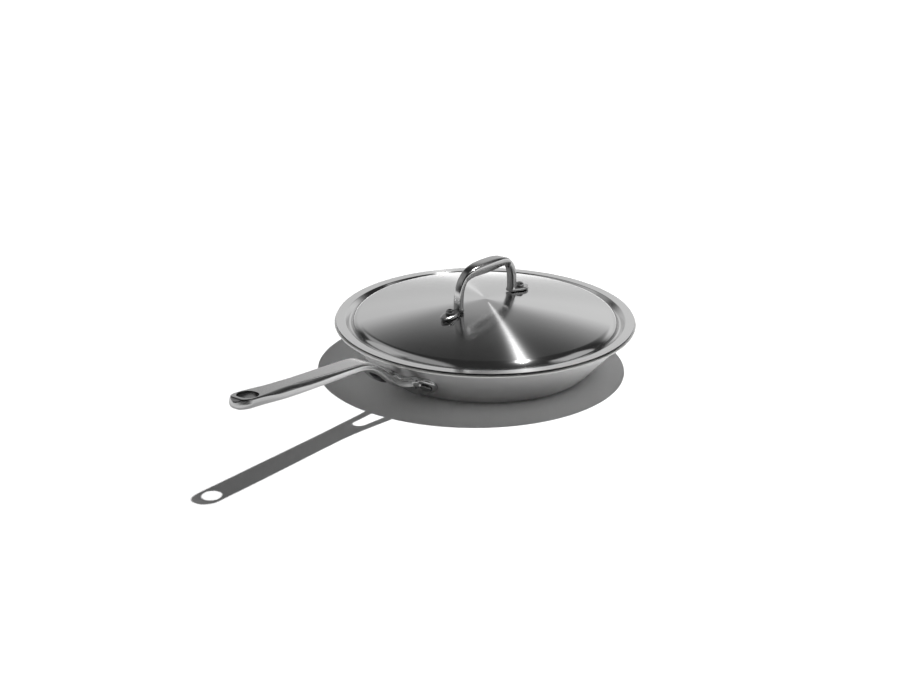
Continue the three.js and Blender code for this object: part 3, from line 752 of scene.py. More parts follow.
def flange_body(size, section):
    """The flange's outline as a plate on the wall, with an edge that rounds over as a quarter circle."""
    middle, radius = flange_radius(size, section)
    over = np.linspace(0, np.pi / 2, ROUND_POINTS)
    round_in = size.flange_round * (1 - np.cos(over))
    round_out = size.flange_thickness - size.flange_round * (1 - np.sin(over))
    back, front = len(BACK_RINGS), len(FRONT_RINGS)
    insets = np.concatenate((np.zeros(back), round_in, np.full(front, size.flange_round)))
    shares = np.concatenate((BACK_RINGS, np.ones(len(over)), FRONT_RINGS))
    inside = np.full(back, -section.wall / 2)
    outs = np.concatenate((inside, round_out, np.full(front, size.flange_thickness)))
    outlines = np.stack([flange_outline(size, section, inset) for inset in insets])
    across = outlines[:, :, 0] * shares[:, None]
    up = middle + (outlines[:, :, 1] - middle) * shares[:, None]
    rings = section.on_wall(up, outs[:, None], across / radius)
    centre_in = section.on_wall(middle, outs[0], 0.0)
    centre_out = section.on_wall(middle, outs[-1], 0.0)
    return skin(rings, centre_in, centre_out)


def bowl_room(section, gap):
    """What the bowl takes up, with a gap round it, as a turned solid twice as high as the bowl."""
    size = section.size
    face = section.face(-gap)[:-1]
    above = 2 * size.height
    edge = np.array([[size.rim_radius + gap, face[-1, 1]], [size.rim_radius + gap, above], [0, above]])
    return revolve(np.vstack((face, edge)), TURN_STEPS)


def outward(mesh):
    """Merges a mesh's doubles, drops faces without area and points the rest outwards."""
    work = bmesh.new()
    work.from_mesh(mesh)
    bmesh.ops.remove_doubles(work, verts=work.verts, dist=TINY)
    bmesh.ops.dissolve_degenerate(work, edges=work.edges, dist=TINY / 10)
    bmesh.ops.recalc_face_normals(work, faces=work.faces)
    work.to_mesh(mesh)
    work.free()
    return mesh


def joined(name, base, others):
    """The mesh of a base after each (operation, mesh) pair is joined to it or cut from it."""
    in_scene = bpy.context.scene.collection.objects
    target = bpy.data.objects.new(name, base)
    in_scene.link(target)
    helpers = []
    for operation, mesh in others:
        helper = bpy.data.objects.new(mesh.name, mesh)
        in_scene.link(helper)
        helpers.append(helper)
        step = target.modifiers.new(operation, "BOOLEAN")
        step.operation = operation
        step.solver = "EXACT"
        step.object = helper
    depsgraph = bpy.context.evaluated_depsgraph_get()
    result = bpy.data.meshes.new_from_object(target.evaluated_get(depsgraph))
    for used in (target, *helpers):
        bpy.data.objects.remove(used)
    result.name = name
    return result


class FRYINGPAN_OT_handle(bpy.types.Operator):
    """Build the cast handle: grip with hanging hole, legs round a window, flange on the wall"""

    bl_idname = "frying_pan.handle"
    bl_label = "Handle"

    def execute(self, context):
        settings = context.scene.frying_pan
        size = settings.handle
        section = BowlSection(settings.bowl)
        line = HandleLine(size, section)
        body = outward(make_mesh("handle_body", handle_body(line)))
        flange = outward(make_mesh("handle_flange", flange_body(size, section)))
        room = outward(make_mesh("bowl_room", bowl_room(section, size.seat_gap)))
        mesh = joined("pan_handle_casting", body, [("UNION", flange), ("DIFFERENCE", room)])
        smooth(mesh, HANDLE_CREASE)
        finish = settings.finishes
        material = satin_cast_stainless(finish.handle, finish.grip, finish.hole, line)
        make_piece("pan_handle_casting", mesh, material, "pan", ["pan_handle"])
        return {"FINISHED"}


# Rivets

# Points of the round head, the brim of the upset end and its dished face, and steps round the axis.
HEAD_POINTS = 14
BRIM_POINTS = 7
DISH_POINTS = 10
RIVET_STEPS = 64
# Rounding of the brim, as a share of the upset end's height.
BRIM_SHARE = 0.5


def rivet(shank, lower, lower_height, upper, upper_height, grip, dish, gap):
    """A rivet's section on a face at height 0: a low round head below, the shank, an upset end above.

    The head is a quarter of an ellipse, and the upset end has a quarter-round brim and a parabolic dish.
    """
    low, high = -gap, grip + gap
    turn = np.linspace(0, np.pi / 2, HEAD_POINTS)
    head = np.column_stack((lower / 2 * np.sin(turn), low - lower_height * np.cos(turn)))
    rim = BRIM_SHARE * upper_height
    top = high + upper_height
    over = np.linspace(0, np.pi / 2, BRIM_POINTS)
    hollow_radius = upper / 2 - rim
    brim = np.column_stack((hollow_radius + rim * np.cos(over), top - rim + rim * np.sin(over)))
    inward = np.linspace(1, 0, DISH_POINTS)[1:]
    hollow = np.column_stack((hollow_radius * inward, top - dish * (1 - inward ** 2)))
    stem = np.array([[shank / 2, low], [shank / 2, high], [upper / 2, high]])
    return np.vstack((head, stem, brim, hollow))


def make_rivet(node, profile, point, direction, turn, material, body):
    """Turns a rivet's section about its axis, stands it on a face and turns it with its body about Z."""
    vertices, faces, uv = revolve(profile, RIVET_STEPS)
    stood = turned_about_z(stood_on(vertices, point, direction), turn)
    name = f"{node}_turned"
    make_piece(name, make_mesh(name, (stood, faces, uv)), material, body, [node])


class FRYINGPAN_OT_handle_rivets(bpy.types.Operator):
    """Build the two rivets that hold the handle to the wall"""

    bl_idname = "frying_pan.handle_rivets"
    bl_label = "Handle rivets"

    def execute(self, context):
        settings = context.scene.frying_pan
        size, handle = settings.rivets, settings.handle
        section = BowlSection(settings.bowl)
        up = ear_height(handle, section)
        radius = flange_radius(handle, section)[1]
        grip = section.wall + handle.seat_gap + handle.flange_thickness
        profile = rivet(size.shank, size.inner_head, size.inner_height, size.outer_head,
                        size.outer_height, grip, 0, handle.seat_gap)
        profile[:, 1] -= section.wall
        material = polished_rivet_steel(settings.finishes.rivet)
        for node, side in (("handle_rivet_left", 1), ("handle_rivet_right", -1)):
            around = side * handle.rivet_spacing / 2 / radius
            point = section.on_wall(up, 0.0, around)
            direction = section.on_wall(up, 1.0, around) - point
            make_rivet(node, profile, point, direction, 0.0, material, "pan")
        return {"FINISHED"}


# Lid

# Points along the dome, the shoulder, the groove, the flange's bend and flat, the steps between them and
# the cut edge. Two more points crowd at the dome's edge.
DOME_POINTS = 50
DOME_EDGE_POINTS = np.array([1.2, 0.4]) * MM
SHOULDER_POINTS = 14
GROOVE_POINTS = 16
FLANGE_BEND_POINTS = 10
FLANGE_POINTS = 10
STEP_POINTS = 5
EDGE_POINTS = 9
# Rounding of the cut edge's upper corner, as a share of the sheet's thickness.
EDGE_ROUND_SHARE = 0.2
LID_CREASE = 60


class LidSection:
    """Dome, shoulder, groove and flange of the lid, worked inwards from the flange's edge."""

    def __init__(self, size, bowl):
        self.size = size
        self.under = bowl.height + size.seat_gap
        self.flange_top = self.under + size.sheet
        self.edge = bowl.rim_radius - size.flange_inset
        self.bend_centre = np.array([self.edge - size.flange_width, self.flange_top - size.flange_bend])
        rise_top = self.bend_centre - size.flange_bend * normal_of(size.groove_rise)
        floor = self.flange_top - size.groove_depth
        rise_foot = floor + size.groove_bend * (1 - math.cos(size.groove_rise))
        rise_run = (rise_top[1] - rise_foot) / math.tan(size.groove_rise)
        self.groove_centre = np.array([
            rise_top[0] - rise_run - size.groove_bend * math.sin(size.groove_rise),
            floor + size.groove_bend,
        ])
        drop_foot = self.groove_centre + size.groove_bend * normal_of(-size.shoulder_drop)
        edge_height = self.flange_top + size.shoulder_rise
        bend_fall = math.cos(size.edge_slope) - math.cos(size.shoulder_drop)
        drop_top = edge_height - size.shoulder_bend * bend_fall
        drop_run = (drop_top - drop_foot[1]) / math.tan(size.shoulder_drop)
        self.shoulder_centre = np.array([
            drop_foot[0] - drop_run - size.shoulder_bend * math.sin(size.shoulder_drop),
            edge_height - size.shoulder_bend * math.cos(size.edge_slope),
        ])
        self.dome_radius = self.shoulder_centre[0] + size.shoulder_bend * math.sin(size.edge_slope)
        self.growth = (math.tan(size.edge_slope) - math.tan(size.tip_slope)) / (2 * self.dome_radius)
        self.apex = edge_height + self.fall(self.dome_radius)

    def fall(self, radius):
        """How far the dome has fallen at a radius: its slope grows evenly from tip to edge."""
        return math.tan(self.size.tip_slope) * radius + self.growth * radius ** 2

    def slope(self, radius):
        """The dome's slope at a radius."""
        return np.arctan(math.tan(self.size.tip_slope) + 2 * self.growth * radius)

    def height(self, radius):
        """The dome's top face at a radius."""
        return self.apex - self.fall(radius)

    def face(self, depth):
        """The lid's face at a depth below its top, from the axis to the flange's edge."""
        size = self.size
        inner = np.linspace(0, self.dome_radius, DOME_POINTS)[1:]
        radius = np.unique(np.concatenate((inner, self.dome_radius - DOME_EDGE_POINTS)))
        slope = self.slope(radius)
        dome = np.column_stack((radius - depth * np.sin(slope), self.height(radius) - depth * np.cos(slope)))
        axis = np.array([[0, self.apex - depth / math.cos(size.tip_slope)]])
        shoulder = arc(self.shoulder_centre, depth - size.shoulder_bend,
                       -size.edge_slope, -size.shoulder_drop, SHOULDER_POINTS)
        groove = arc(self.groove_centre, size.groove_bend + depth,
                     -size.shoulder_drop, size.groove_rise, GROOVE_POINTS)
        bend = arc(self.bend_centre, depth - size.flange_bend, size.groove_rise, 0, FLANGE_BEND_POINTS)
        edge = np.array([[self.edge - self.edge_back(depth), self.flange_top - depth]])
        drop = run(shoulder[-1], groove[0], STEP_POINTS)
        rise = run(groove[-1], bend[0], STEP_POINTS)
        flange = run(bend[-1], edge[0], FLANGE_POINTS)
        return np.vstack((axis, dome, shoulder[1:], drop, groove, rise, bend, flange, edge))

    def edge_back(self, depth):
        """How far the edge of the sheet lies back at a depth: rounded above, undercut below."""
        sheet = self.size.sheet
        return quarter_drop(depth, EDGE_ROUND_SHARE * sheet) + self.size.edge_undercut * depth / sheet

    def whole(self):
        """The closed section of the sheet."""
        depths = np.linspace(self.size.sheet, 0, EDGE_POINTS)[1:-1]
        edge = np.column_stack((self.edge - self.edge_back(depths), self.flange_top - depths))
        return np.vstack((self.face(self.size.sheet), edge, self.face(0)[::-1]))


class FRYINGPAN_OT_lid(bpy.types.Operator):
    """Build the spun lid"""

    bl_idname = "frying_pan.lid"
    bl_label = "Lid"

    def execute(self, context):
        settings = context.scene.frying_pan
        section = LidSection(settings.lid, settings.bowl)
        mesh = make_mesh("lid_spun_sheet", revolve(section.whole(), TURN_STEPS), LID_CREASE)
        material = spun_stainless_sheet(settings.finishes.lid)
        make_piece("lid_spun_sheet", mesh, material, "lid", ["lid"])
        return {"FINISHED"}


# Loop on the lid

# Points along the arch, along each of a foot's two stretches, and round their sections. A foot's first
# row lies just inside its very tip.
ARCH_POINTS = 161
FOOT_ROWS = 20
FIRST_FOOT_TURN = 0.08
SECTION_POINTS = 48
LOOP_CREASE = 50


def foot_middle(size, section):
    """Where a foot's middle plane lies above its rivet, and the foot's slope."""
    radius = size.rivet_spacing / 2
    slope = float(section.slope(radius))
    lift = section.size.seat_gap + size.foot_thickness / 2
    return np.array([radius, section.height(radius)]) - lift * normal_of(-slope), slope


def rounded_box(points, width, thickness, squareness, keel=0.0, belly=0.0):
    """A box |a|^n + |b|^n = 1 carried along a line in the plane y = 0.

    It is narrowed downwards by a keel share, and its underside is moved down by a belly.
    """
    ahead = np.gradient(points, axis=0)
    ahead /= np.linalg.norm(ahead, axis=1, keepdims=True)
    outward_of = np.column_stack((ahead[:, 1], -ahead[:, 0]))
    turn = np.arange(SECTION_POINTS) * 2 * np.pi / SECTION_POINTS
    rise = signed_power(np.sin(turn), 2 / squareness) / 2
    below = 0.5 - rise[None, :]
    keel, belly = (np.broadcast_to(value, len(points))[:, None] for value in (keel, belly))
    across = signed_power(np.cos(turn), 2 / squareness)[None, :] / 2 * width[:, None] * (1 - keel * below)
    out = rise[None, :] * thickness[:, None] - belly * below
    place = points[:, None, :] + out[:, :, None] * outward_of[:, None, :]
    rings = np.stack((place[:, :, 0], across, place[:, :, 1]), axis=2)
    return skin(rings, rings[0].mean(axis=0), rings[-1].mean(axis=0))


def loop_arch(size, section):
    """Legs and grip: one squared-off ellipse from inside one foot to inside the other."""
    middle, slope = foot_middle(size, section)
    leg = size.leg_spacing / 2
    start = middle[1] + (middle[0] - leg) * math.tan(slope)
    crown = section.apex + size.finger_gap + size.grip_thickness / 2 - start
    power = 2 / size.squareness
    sweep = np.linspace(0, np.pi, ARCH_POINTS)
    across = signed_power(np.cos(sweep), power)
    points = np.column_stack((leg * across, start + crown * np.sin(sweep).clip(0) ** power))
    grip = np.clip(1 - (2 * points[:, 0] / size.grip_length) ** 2, 0, 1)
    width = size.leg_width + (size.grip_width - size.leg_width) * grip
    thickness = size.leg_thickness + (size.grip_thickness - size.leg_thickness) * grip
    return rounded_box(points, width, thickness, size.edge_squareness, size.keel * grip, size.belly * grip)


def loop_foot(size, section):
    """A flat foot on the dome: as wide as the leg under it, widening to the rivet, round at its tip."""
    middle, slope = foot_middle(size, section)
    inner = size.leg_spacing / 2 - size.leg_thickness / 2
    rivet_place = size.rivet_spacing / 2
    turn = np.linspace(FIRST_FOOT_TURN, np.pi / 2, FOOT_ROWS)
    straight = np.linspace(rivet_place, inner, FOOT_ROWS)[1:]
    reach = np.concatenate((rivet_place + size.foot_tip * np.cos(turn), straight))
    taper = ease((rivet_place - straight) / (rivet_place - inner))
    width = np.concatenate((size.foot_width * np.sin(turn),
                            size.foot_width * (1 - taper) + size.leg_width * taper))
    points = np.column_stack((reach, middle[1] - (reach - middle[0]) * math.tan(slope)))
    return rounded_box(points, width, np.full(len(reach), size.foot_thickness), size.edge_squareness)


class FRYINGPAN_OT_loop(bpy.types.Operator):
    """Build the cast loop that lifts the lid"""

    bl_idname = "frying_pan.loop"
    bl_label = "Loop"

    def execute(self, context):
        settings = context.scene.frying_pan
        section = LidSection(settings.lid, settings.bowl)
        arch = outward(make_mesh("loop_arch", loop_arch(settings.loop, section)))
        vertices, faces, _ = loop_foot(settings.loop, section)
        feet = [(vertices * (side, side, 1), faces, None) for side in (1, -1)]
        plates = [("UNION", outward(make_mesh("loop_foot", foot))) for foot in feet]
        mesh = joined("lid_loop_casting", arch, plates)
        mesh.transform(Matrix.Rotation(settings.lid.turn, 4, "Z"))
        smooth(mesh, LOOP_CREASE)
        material = polished_cast_stainless(settings.finishes.loop)
        make_piece("lid_loop_casting", mesh, material, "lid", ["lid_loop"])
        return {"FINISHED"}


class FRYINGPAN_OT_lid_rivets(bpy.types.Operator):
    """Build the two rivets that hold the loop to the lid"""

    bl_idname = "frying_pan.lid_rivets"
    bl_label = "Lid rivets"

    def execute(self, context):
        settings = context.scene.frying_pan
        size, loop, lid = settings.rivets, settings.loop, settings.lid
        section = LidSection(lid, settings.bowl)
        radius = loop.rivet_spacing / 2
        grip = lid.sheet + lid.seat_gap + loop.foot_thickness
        profile = rivet(size.lid_shank, size.lid_inner_head, size.lid_inner_height, size.lid_head,
                        size.lid_height, grip, size.dish, lid.seat_gap)
        profile[:, 1] -= lid.sheet
        out = -normal_of(-float(section.slope(radius)))
        material = polished_rivet_steel(settings.finishes.rivet)
        for node, side in (("lid_rivet_front", 1), ("lid_rivet_rear", -1)):
            point = (side * radius, 0, section.height(radius))
            direction = (side * out[0], 0, out[1])
            make_rivet(node, profile, point, direction, lid.turn, material, "lid")
        return {"FINISHED"}


# Materials

# Places of a colour mix node's colour sockets among its inputs and outputs.
MIX_FIRST = 6
MIX_SECOND = 7
MIX_RESULT = 2
# How far the painted shade in the hanging hole reaches, as a share of the hole's half sizes.
HOLE_SHADE_REACH = 1.01


def add_node(tree, kind, settings=None, inputs=None):
    """Adds a node, sets its settings, and links or sets its inputs."""
    made = tree.nodes.new(kind)
    for key, value in (settings or {}).items():
        setattr(made, key, value)
    for key, value in (inputs or {}).items():
        socket = made.inputs[key]
        if isinstance(value, bpy.types.NodeSocket):
            tree.links.new(value, socket)
        else:
            socket.default_value = value
    return made


def metal(name, base, roughness, anisotropy=0.0):
    """A bare metal material: returns it with its tree and its shader node."""
    material = bpy.data.materials.new(name)
    material.use_nodes = True
    tree = material.node_tree
    tree.nodes.clear()
    shader = add_node(tree, "ShaderNodeBsdfPrincipled", inputs={
        "Base Color": base, "Metallic": 1.0, "Roughness": roughness, "Anisotropic": anisotropy,
    })
    add_node(tree, "ShaderNodeOutputMaterial", inputs={"Surface": shader.outputs["BSDF"]})
    return material, tree, shader


def worn_by(tree, shader, pattern, spread, roughness, swing, strength, depth):
    """Lets a noise pattern, which lies within a spread about 0.5, sway the roughness and raise a relief."""
    rough = add_node(tree, "ShaderNodeMapRange", inputs={
        "Value": pattern, "From Min": 0.5 - spread, "From Max": 0.5 + spread,
        "To Min": roughness - swing, "To Max": roughness + swing,
    })
    bump = add_node(tree, "ShaderNodeBump", inputs={
        "Strength": strength, "Distance": depth, "Height": pattern,
    })
    tree.links.new(rough.outputs["Result"], shader.inputs["Roughness"])
    tree.links.new(bump.outputs["Normal"], shader.inputs["Normal"])


def ring_lines(tree, shader, spacing, roughness, swing):
    """Fine turning lines round Z: noise along the radius, and a tangent along the UV map for reflections.

    The lines are drawn coarser than real ones, so that they show.
    """
    place = add_node(tree, "ShaderNodeTexCoord").outputs["Object"]
    flat = add_node(tree, "ShaderNodeVectorMath", {"operation": "MULTIPLY"}, {0: place, 1: (1, 1, 0)})
    radius = add_node(tree, "ShaderNodeVectorMath", {"operation": "LENGTH"}, {0: flat.outputs[0]})
    lines = add_node(tree, "ShaderNodeTexNoise", {"noise_dimensions": "1D"}, {
        "W": radius.outputs["Value"], "Scale": 1 / spacing, "Detail": 3.0, "Roughness": 0.6,
    })
    worn_by(tree, shader, lines.outputs["Fac"], spread=0.25, roughness=roughness, swing=swing,
            strength=0.4, depth=0.001 * MM)
    tangent = add_node(tree, "ShaderNodeTangent", {"direction_type": "UV_MAP", "uv_map": UV_NAME})
    tree.links.new(tangent.outputs["Tangent"], shader.inputs["Tangent"])


def spun_stainless_sheet(base):
    """Stainless sheet spun over a former and satin-finished as it turned: fine rings stretch every
    reflection along the radius, so a lamp draws a bright line from the middle to the edge."""
    roughness = 0.1
    material, tree, shader = metal("spun_stainless_sheet", base, roughness, anisotropy=1.0)
    ring_lines(tree, shader, 1.2 * MM, roughness, swing=0.008)
    return material


def satin_stainless_sheet(base):
    """Stainless cladding with a satin belt finish that runs round the bowl: wide soft reflections."""
    roughness = 0.33
    material, tree, shader = metal("satin_stainless_sheet", base, roughness, anisotropy=1.0)
    ring_lines(tree, shader, 1.0 * MM, roughness, swing=0.03)
    return material


def bare_aluminium(base):
    """Aluminium core, seen as a pale matt line where the rim is cut and buffed."""
    return metal("bare_aluminium_core", base, roughness=0.5)[0]


def cast_steel(name, base, grit, roughness, swing):
    """A cast or upset steel, tumbled: noise of one grit size in its roughness and as a shallow relief.

    The grit is drawn coarser than a real one, so that it shows.
    """
    material, tree, shader = metal(name, base, roughness)
    place = add_node(tree, "ShaderNodeTexCoord").outputs["Object"]
    grain = add_node(tree, "ShaderNodeTexNoise", inputs={
        "Vector": place, "Scale": 1 / grit, "Detail": 4.0, "Roughness": 0.55,
    })
    worn_by(tree, shader, grain.outputs["Fac"], spread=0.2, roughness=roughness, swing=swing,
            strength=0.3, depth=0.01 * MM)
    return material, tree, shader


def satin_cast_stainless(base, tip_shade_colour, inside, line):
    """Investment-cast stainless, tumbled to a satin: soft reflections with a fine even grain.

    Its colour darkens slowly from the neck to the tip as painted shade, for light that falls off along the
    grip.
    The wall of the hanging hole is painted dark as painted shade in that hole.
    """
    material, tree, shader = cast_steel("satin_cast_stainless", base, 0.6 * MM, roughness=0.2, swing=0.03)
    size = line.size
    middle = line.tip - line.hole_middle * tangent_of(size.slope)
    point = add_node(tree, "ShaderNodeTexCoord").outputs["Object"]
    reach = add_node(tree, "ShaderNodeSeparateXYZ", inputs={"Vector": point}).outputs["X"]
    # Painted shade: the colour darkens from the neck to the hanging hole's middle.
    to_tip = add_node(tree, "ShaderNodeMapRange", inputs={
        "Value": reach, "From Min": line.neck[0], "From Max": middle[0],
    })
    shaded_towards_tip = add_node(tree, "ShaderNodeMix", {"data_type": "RGBA"}, {
        "Factor": to_tip.outputs["Result"], MIX_FIRST: base, MIX_SECOND: tip_shade_colour,
    })
    in_hole = add_node(tree, "ShaderNodeMapping", {"vector_type": "TEXTURE"}, {
        "Vector": point,
        "Location": (middle[0], 0, middle[1]), "Rotation": (0, -size.slope, 0),
        "Scale": (size.hole_length / 2, size.hole_width / 2, 1),
    })
    flat = add_node(tree, "ShaderNodeVectorMath", {"operation": "MULTIPLY"}, {
        0: in_hole.outputs["Vector"], 1: (1, 1, 0),
    })
    away = add_node(tree, "ShaderNodeVectorMath", {"operation": "LENGTH"}, {0: flat.outputs[0]})
    # Painted shade: the wall inside the hanging hole takes the dark hole colour.
    in_hole_shade = add_node(tree, "ShaderNodeMath", {"operation": "LESS_THAN"}, {
        0: away.outputs["Value"], 1: HOLE_SHADE_REACH,
    })
    painted_shade_colour = add_node(tree, "ShaderNodeMix", {"data_type": "RGBA"}, {
        "Factor": in_hole_shade.outputs[0], MIX_FIRST: shaded_towards_tip.outputs[MIX_RESULT], MIX_SECOND: inside,
    })
    tree.links.new(painted_shade_colour.outputs[MIX_RESULT], shader.inputs["Base Color"])
    return material


def polished_cast_stainless(base):
    """Cast stainless that is belted and buffed: clear, dark-and-bright reflections."""
    return cast_steel("polished_cast_stainless", base, 1.5 * MM, roughness=0.16, swing=0.03)[0]


def polished_rivet_steel(base):
    """Stainless wire upset cold, then tumbled bright: small clear reflections."""
    return cast_steel("polished_rivet_steel", base, 0.8 * MM, roughness=0.22, swing=0.04)[0]


# Stage

# Camera and lamps, matched to the outlines, the shadow and the gleam.
CAMERA_PLACE = (2.0172, 1.4382, 0.9938)
CAMERA_AHEAD = (-0.7492, -0.5512, -0.3674)
CAMERA_ROLL = math.radians(0.44)
CAMERA_LENS = 100.0
CAMERA_SENSOR = 36.0
KEY_PLACE = (-0.911, 0.256, 2.584)
KEY_SIZE = 0.06
KEY_POWER = 97.0
GLEAM_PLACE = (-2.06, 0.05, 5.635)
GLEAM_SIZE = 0.04
GLEAM_POWER = 1150.0
GLEAMING_PIECES = ("lid_spun_sheet", "lid_loop_casting")
# The floor's half width, and the distances from the middle between which it turns white.
FLOOR_HALF = 12.0
WHITE_START = 0.42
WHITE_END = 0.62
# Strength of the even fill, which only matt surfaces see.
FILL = 0.115
WHITE = (1, 1, 1, 1)
# Level directions away from the camera and to its right.
BACKWARDS = (-0.8055, -0.5926, 0.0)
SIDEWAYS = (-0.5926, 0.8055, 0.0)
# Brightness of the ceiling, at the left too, and the places sideways between which it changes.
CEILING = 0.04
CEILING_LEFT = 0.45
CEILING_CHANGE = (-0.33, -0.5)
# How much further round the left side screen reaches than the right one.
LEFT_SCREEN_LONGER = 0.067
# Place from the camera's side (0) to behind the pan (1), then brightness and the start and end of the
# fade at the top.
SIDE_SCREENS = (
    (0.00, (0.08, 0.35, 0.48)), (0.30, (0.08, 0.35, 0.48)),
    (0.42, (0.66, 0.65, 0.78)), (0.67, (0.66, 0.65, 0.78)), (0.70, (0.05, 0.37, 0.50)),
)
# Height and brightness: even at the foot, brightest in the middle, and fading slowly at the top.
BACK_SCREEN = (
    (0.00, 0.76), (0.18, 0.78), (0.28, 0.88), (0.375, 0.88), (0.425, 0.66),
    (0.475, 0.40), (0.525, 0.26), (0.575, 0.15), (0.625, 0.085), (0.70, 0.05),
)
# Places round from the camera between which the back screen takes over.
BACK_START = 0.78
BACK_FULL = 0.93
# Share by which the back screen is brighter at the right and dimmer at the left, and how far sideways.
RIGHT_BRIGHTER = 0.1
RIGHT_REACH = 0.2
# A lit spot near the back screen's top: direction, size and added brightness.
LIT_SPOT = (-0.688, -0.506, 0.52)
LIT_SPOT_SIZE = 0.12
LIT_SPOT_GLOW = 0.27


def seen_or_mirrored(tree):
    """1 for rays from the camera and from reflections, and 0 for the rays that light matt surfaces."""
    path = add_node(tree, "ShaderNodeLightPath")
    return add_node(tree, "ShaderNodeMath", {"operation": "MAXIMUM"}, {
        0: path.outputs["Is Camera Ray"], 1: path.outputs["Is Glossy Ray"],
    }).outputs[0]


def floor_material(base):
    """Plain pale paper: matt, and white to the camera and in reflections away from the pan."""
    material = bpy.data.materials.new("pale_floor")
    material.use_nodes = True
    tree = material.node_tree
    tree.nodes.clear()
    place = add_node(tree, "ShaderNodeTexCoord").outputs["Object"]
    away = add_node(tree, "ShaderNodeVectorMath", {"operation": "LENGTH"}, {0: place})
    white = add_node(tree, "ShaderNodeMapRange", {"interpolation_type": "SMOOTHSTEP"}, {
        "Value": away.outputs["Value"], "From Min": WHITE_START, "From Max": WHITE_END,
    })
    glow = add_node(tree, "ShaderNodeMath", {"operation": "MULTIPLY"}, {
        0: seen_or_mirrored(tree), 1: white.outputs["Result"],
    })
    matt = add_node(tree, "ShaderNodeBsdfDiffuse", inputs={"Color": base})
    light = add_node(tree, "ShaderNodeEmission", inputs={"Strength": glow.outputs[0]})
    both = add_node(tree, "ShaderNodeAddShader", inputs={0: matt.outputs[0], 1: light.outputs[0]})
    add_node(tree, "ShaderNodeOutputMaterial", inputs={"Surface": both.outputs[0]})
    return material


def studio_world():
    """Pale screens behind the pan and at its sides under a dark ceiling, for reflections, and an even fill.

    Going round from the camera to behind the pan there are a dim front, a side screen, a dark gap and the
    back screen, which has a lit spot near its top. The ceiling is paler at the left.
    """
    world = bpy.data.worlds.new("studio")
    world.use_nodes = True
    tree = world.node_tree
    tree.nodes.clear()
    direction = add_node(tree, "ShaderNodeTexCoord").outputs["Generated"]
    height = add_node(tree, "ShaderNodeSeparateXYZ", inputs={"Vector": direction}).outputs["Z"]
    behind, beside = (
        add_node(tree, "ShaderNodeVectorMath", {"operation": "DOT_PRODUCT"}, {
            0: direction, 1: way,
        }).outputs["Value"] for way in (BACKWARDS, SIDEWAYS)
    )
    around = add_node(tree, "ShaderNodeMath", {"operation": "MULTIPLY_ADD"}, {
        0: beside, 1: 2 * LEFT_SCREEN_LONGER, 2: behind,
    })
    place = add_node(tree, "ShaderNodeMapRange", inputs={
        "Value": around.outputs[0], "From Min": -1.0, "From Max": 1.0,
    }).outputs["Result"]
    ceiling = add_node(tree, "ShaderNodeMapRange", {"interpolation_type": "SMOOTHSTEP"}, {
        "Value": beside, "From Min": CEILING_CHANGE[0], "From Max": CEILING_CHANGE[1],
        "To Min": CEILING, "To Max": CEILING_LEFT,
    })
    sides = add_node(tree, "ShaderNodeValToRGB", inputs={"Fac": place})
    back = add_node(tree, "ShaderNodeValToRGB", inputs={"Fac": height})
    for ramp, stops in ((sides.color_ramp, SIDE_SCREENS), (back.color_ramp, BACK_SCREEN)):
        ramp.elements.remove(ramp.elements[1])
        for index, (at, values) in enumerate(stops):
            stop = ramp.elements[0] if index == 0 else ramp.elements.new(at)
            stop.position = at
            stop.color = (*np.broadcast_to(values, 3), 1)
    screen = add_node(tree, "ShaderNodeSeparateColor", inputs={"Color": sides.outputs["Color"]}).outputs
    fade = add_node(tree, "ShaderNodeMapRange", {"interpolation_type": "SMOOTHSTEP"}, {
        "Value": height, "From Min": screen["Green"], "From Max": screen["Blue"],
        "To Min": 1.0, "To Max": 0.0,
    })
    side_level = add_node(tree, "ShaderNodeMix", {"data_type": "FLOAT"}, {
        "Factor": fade.outputs["Result"], "A": ceiling.outputs["Result"], "B": screen["Red"],
    })
    spot_away = add_node(tree, "ShaderNodeVectorMath", {"operation": "DISTANCE"}, {
        0: direction, 1: LIT_SPOT,
    })
    spot = add_node(tree, "ShaderNodeMapRange", {"interpolation_type": "SMOOTHSTEP"}, {
        "Value": spot_away.outputs["Value"], "From Min": 0.0, "From Max": LIT_SPOT_SIZE,
        "To Min": LIT_SPOT_GLOW, "To Max": 0.0,
    })
    lean = add_node(tree, "ShaderNodeMapRange", inputs={
        "Value": beside, "From Min": -RIGHT_REACH, "From Max": RIGHT_REACH,
        "To Min": 1 - RIGHT_BRIGHTER, "To Max": 1 + RIGHT_BRIGHTER,
    })
    back_level = add_node(tree, "ShaderNodeMath", {"operation": "MULTIPLY_ADD"}, {
        0: back.outputs["Color"], 1: lean.outputs["Result"], 2: spot.outputs["Result"],
    })
    is_back = add_node(tree, "ShaderNodeMapRange", {"interpolation_type": "SMOOTHSTEP"}, {
        "Value": place, "From Min": BACK_START, "From Max": BACK_FULL,
    })
    level = add_node(tree, "ShaderNodeMix", {"data_type": "FLOAT"}, {
        "Factor": is_back.outputs["Result"], "A": side_level.outputs["Result"], "B": back_level.outputs[0],
    })
    backdrop = add_node(tree, "ShaderNodeBackground", inputs={
        "Color": WHITE, "Strength": level.outputs["Result"],
    })
    fill = add_node(tree, "ShaderNodeBackground", inputs={"Color": WHITE, "Strength": FILL})
    mix = add_node(tree, "ShaderNodeMixShader", inputs={
        0: seen_or_mirrored(tree), 1: fill.outputs[0], 2: backdrop.outputs[0],
    })
    add_node(tree, "ShaderNodeOutputWorld", inputs={"Surface": mix.outputs[0]})
    return world


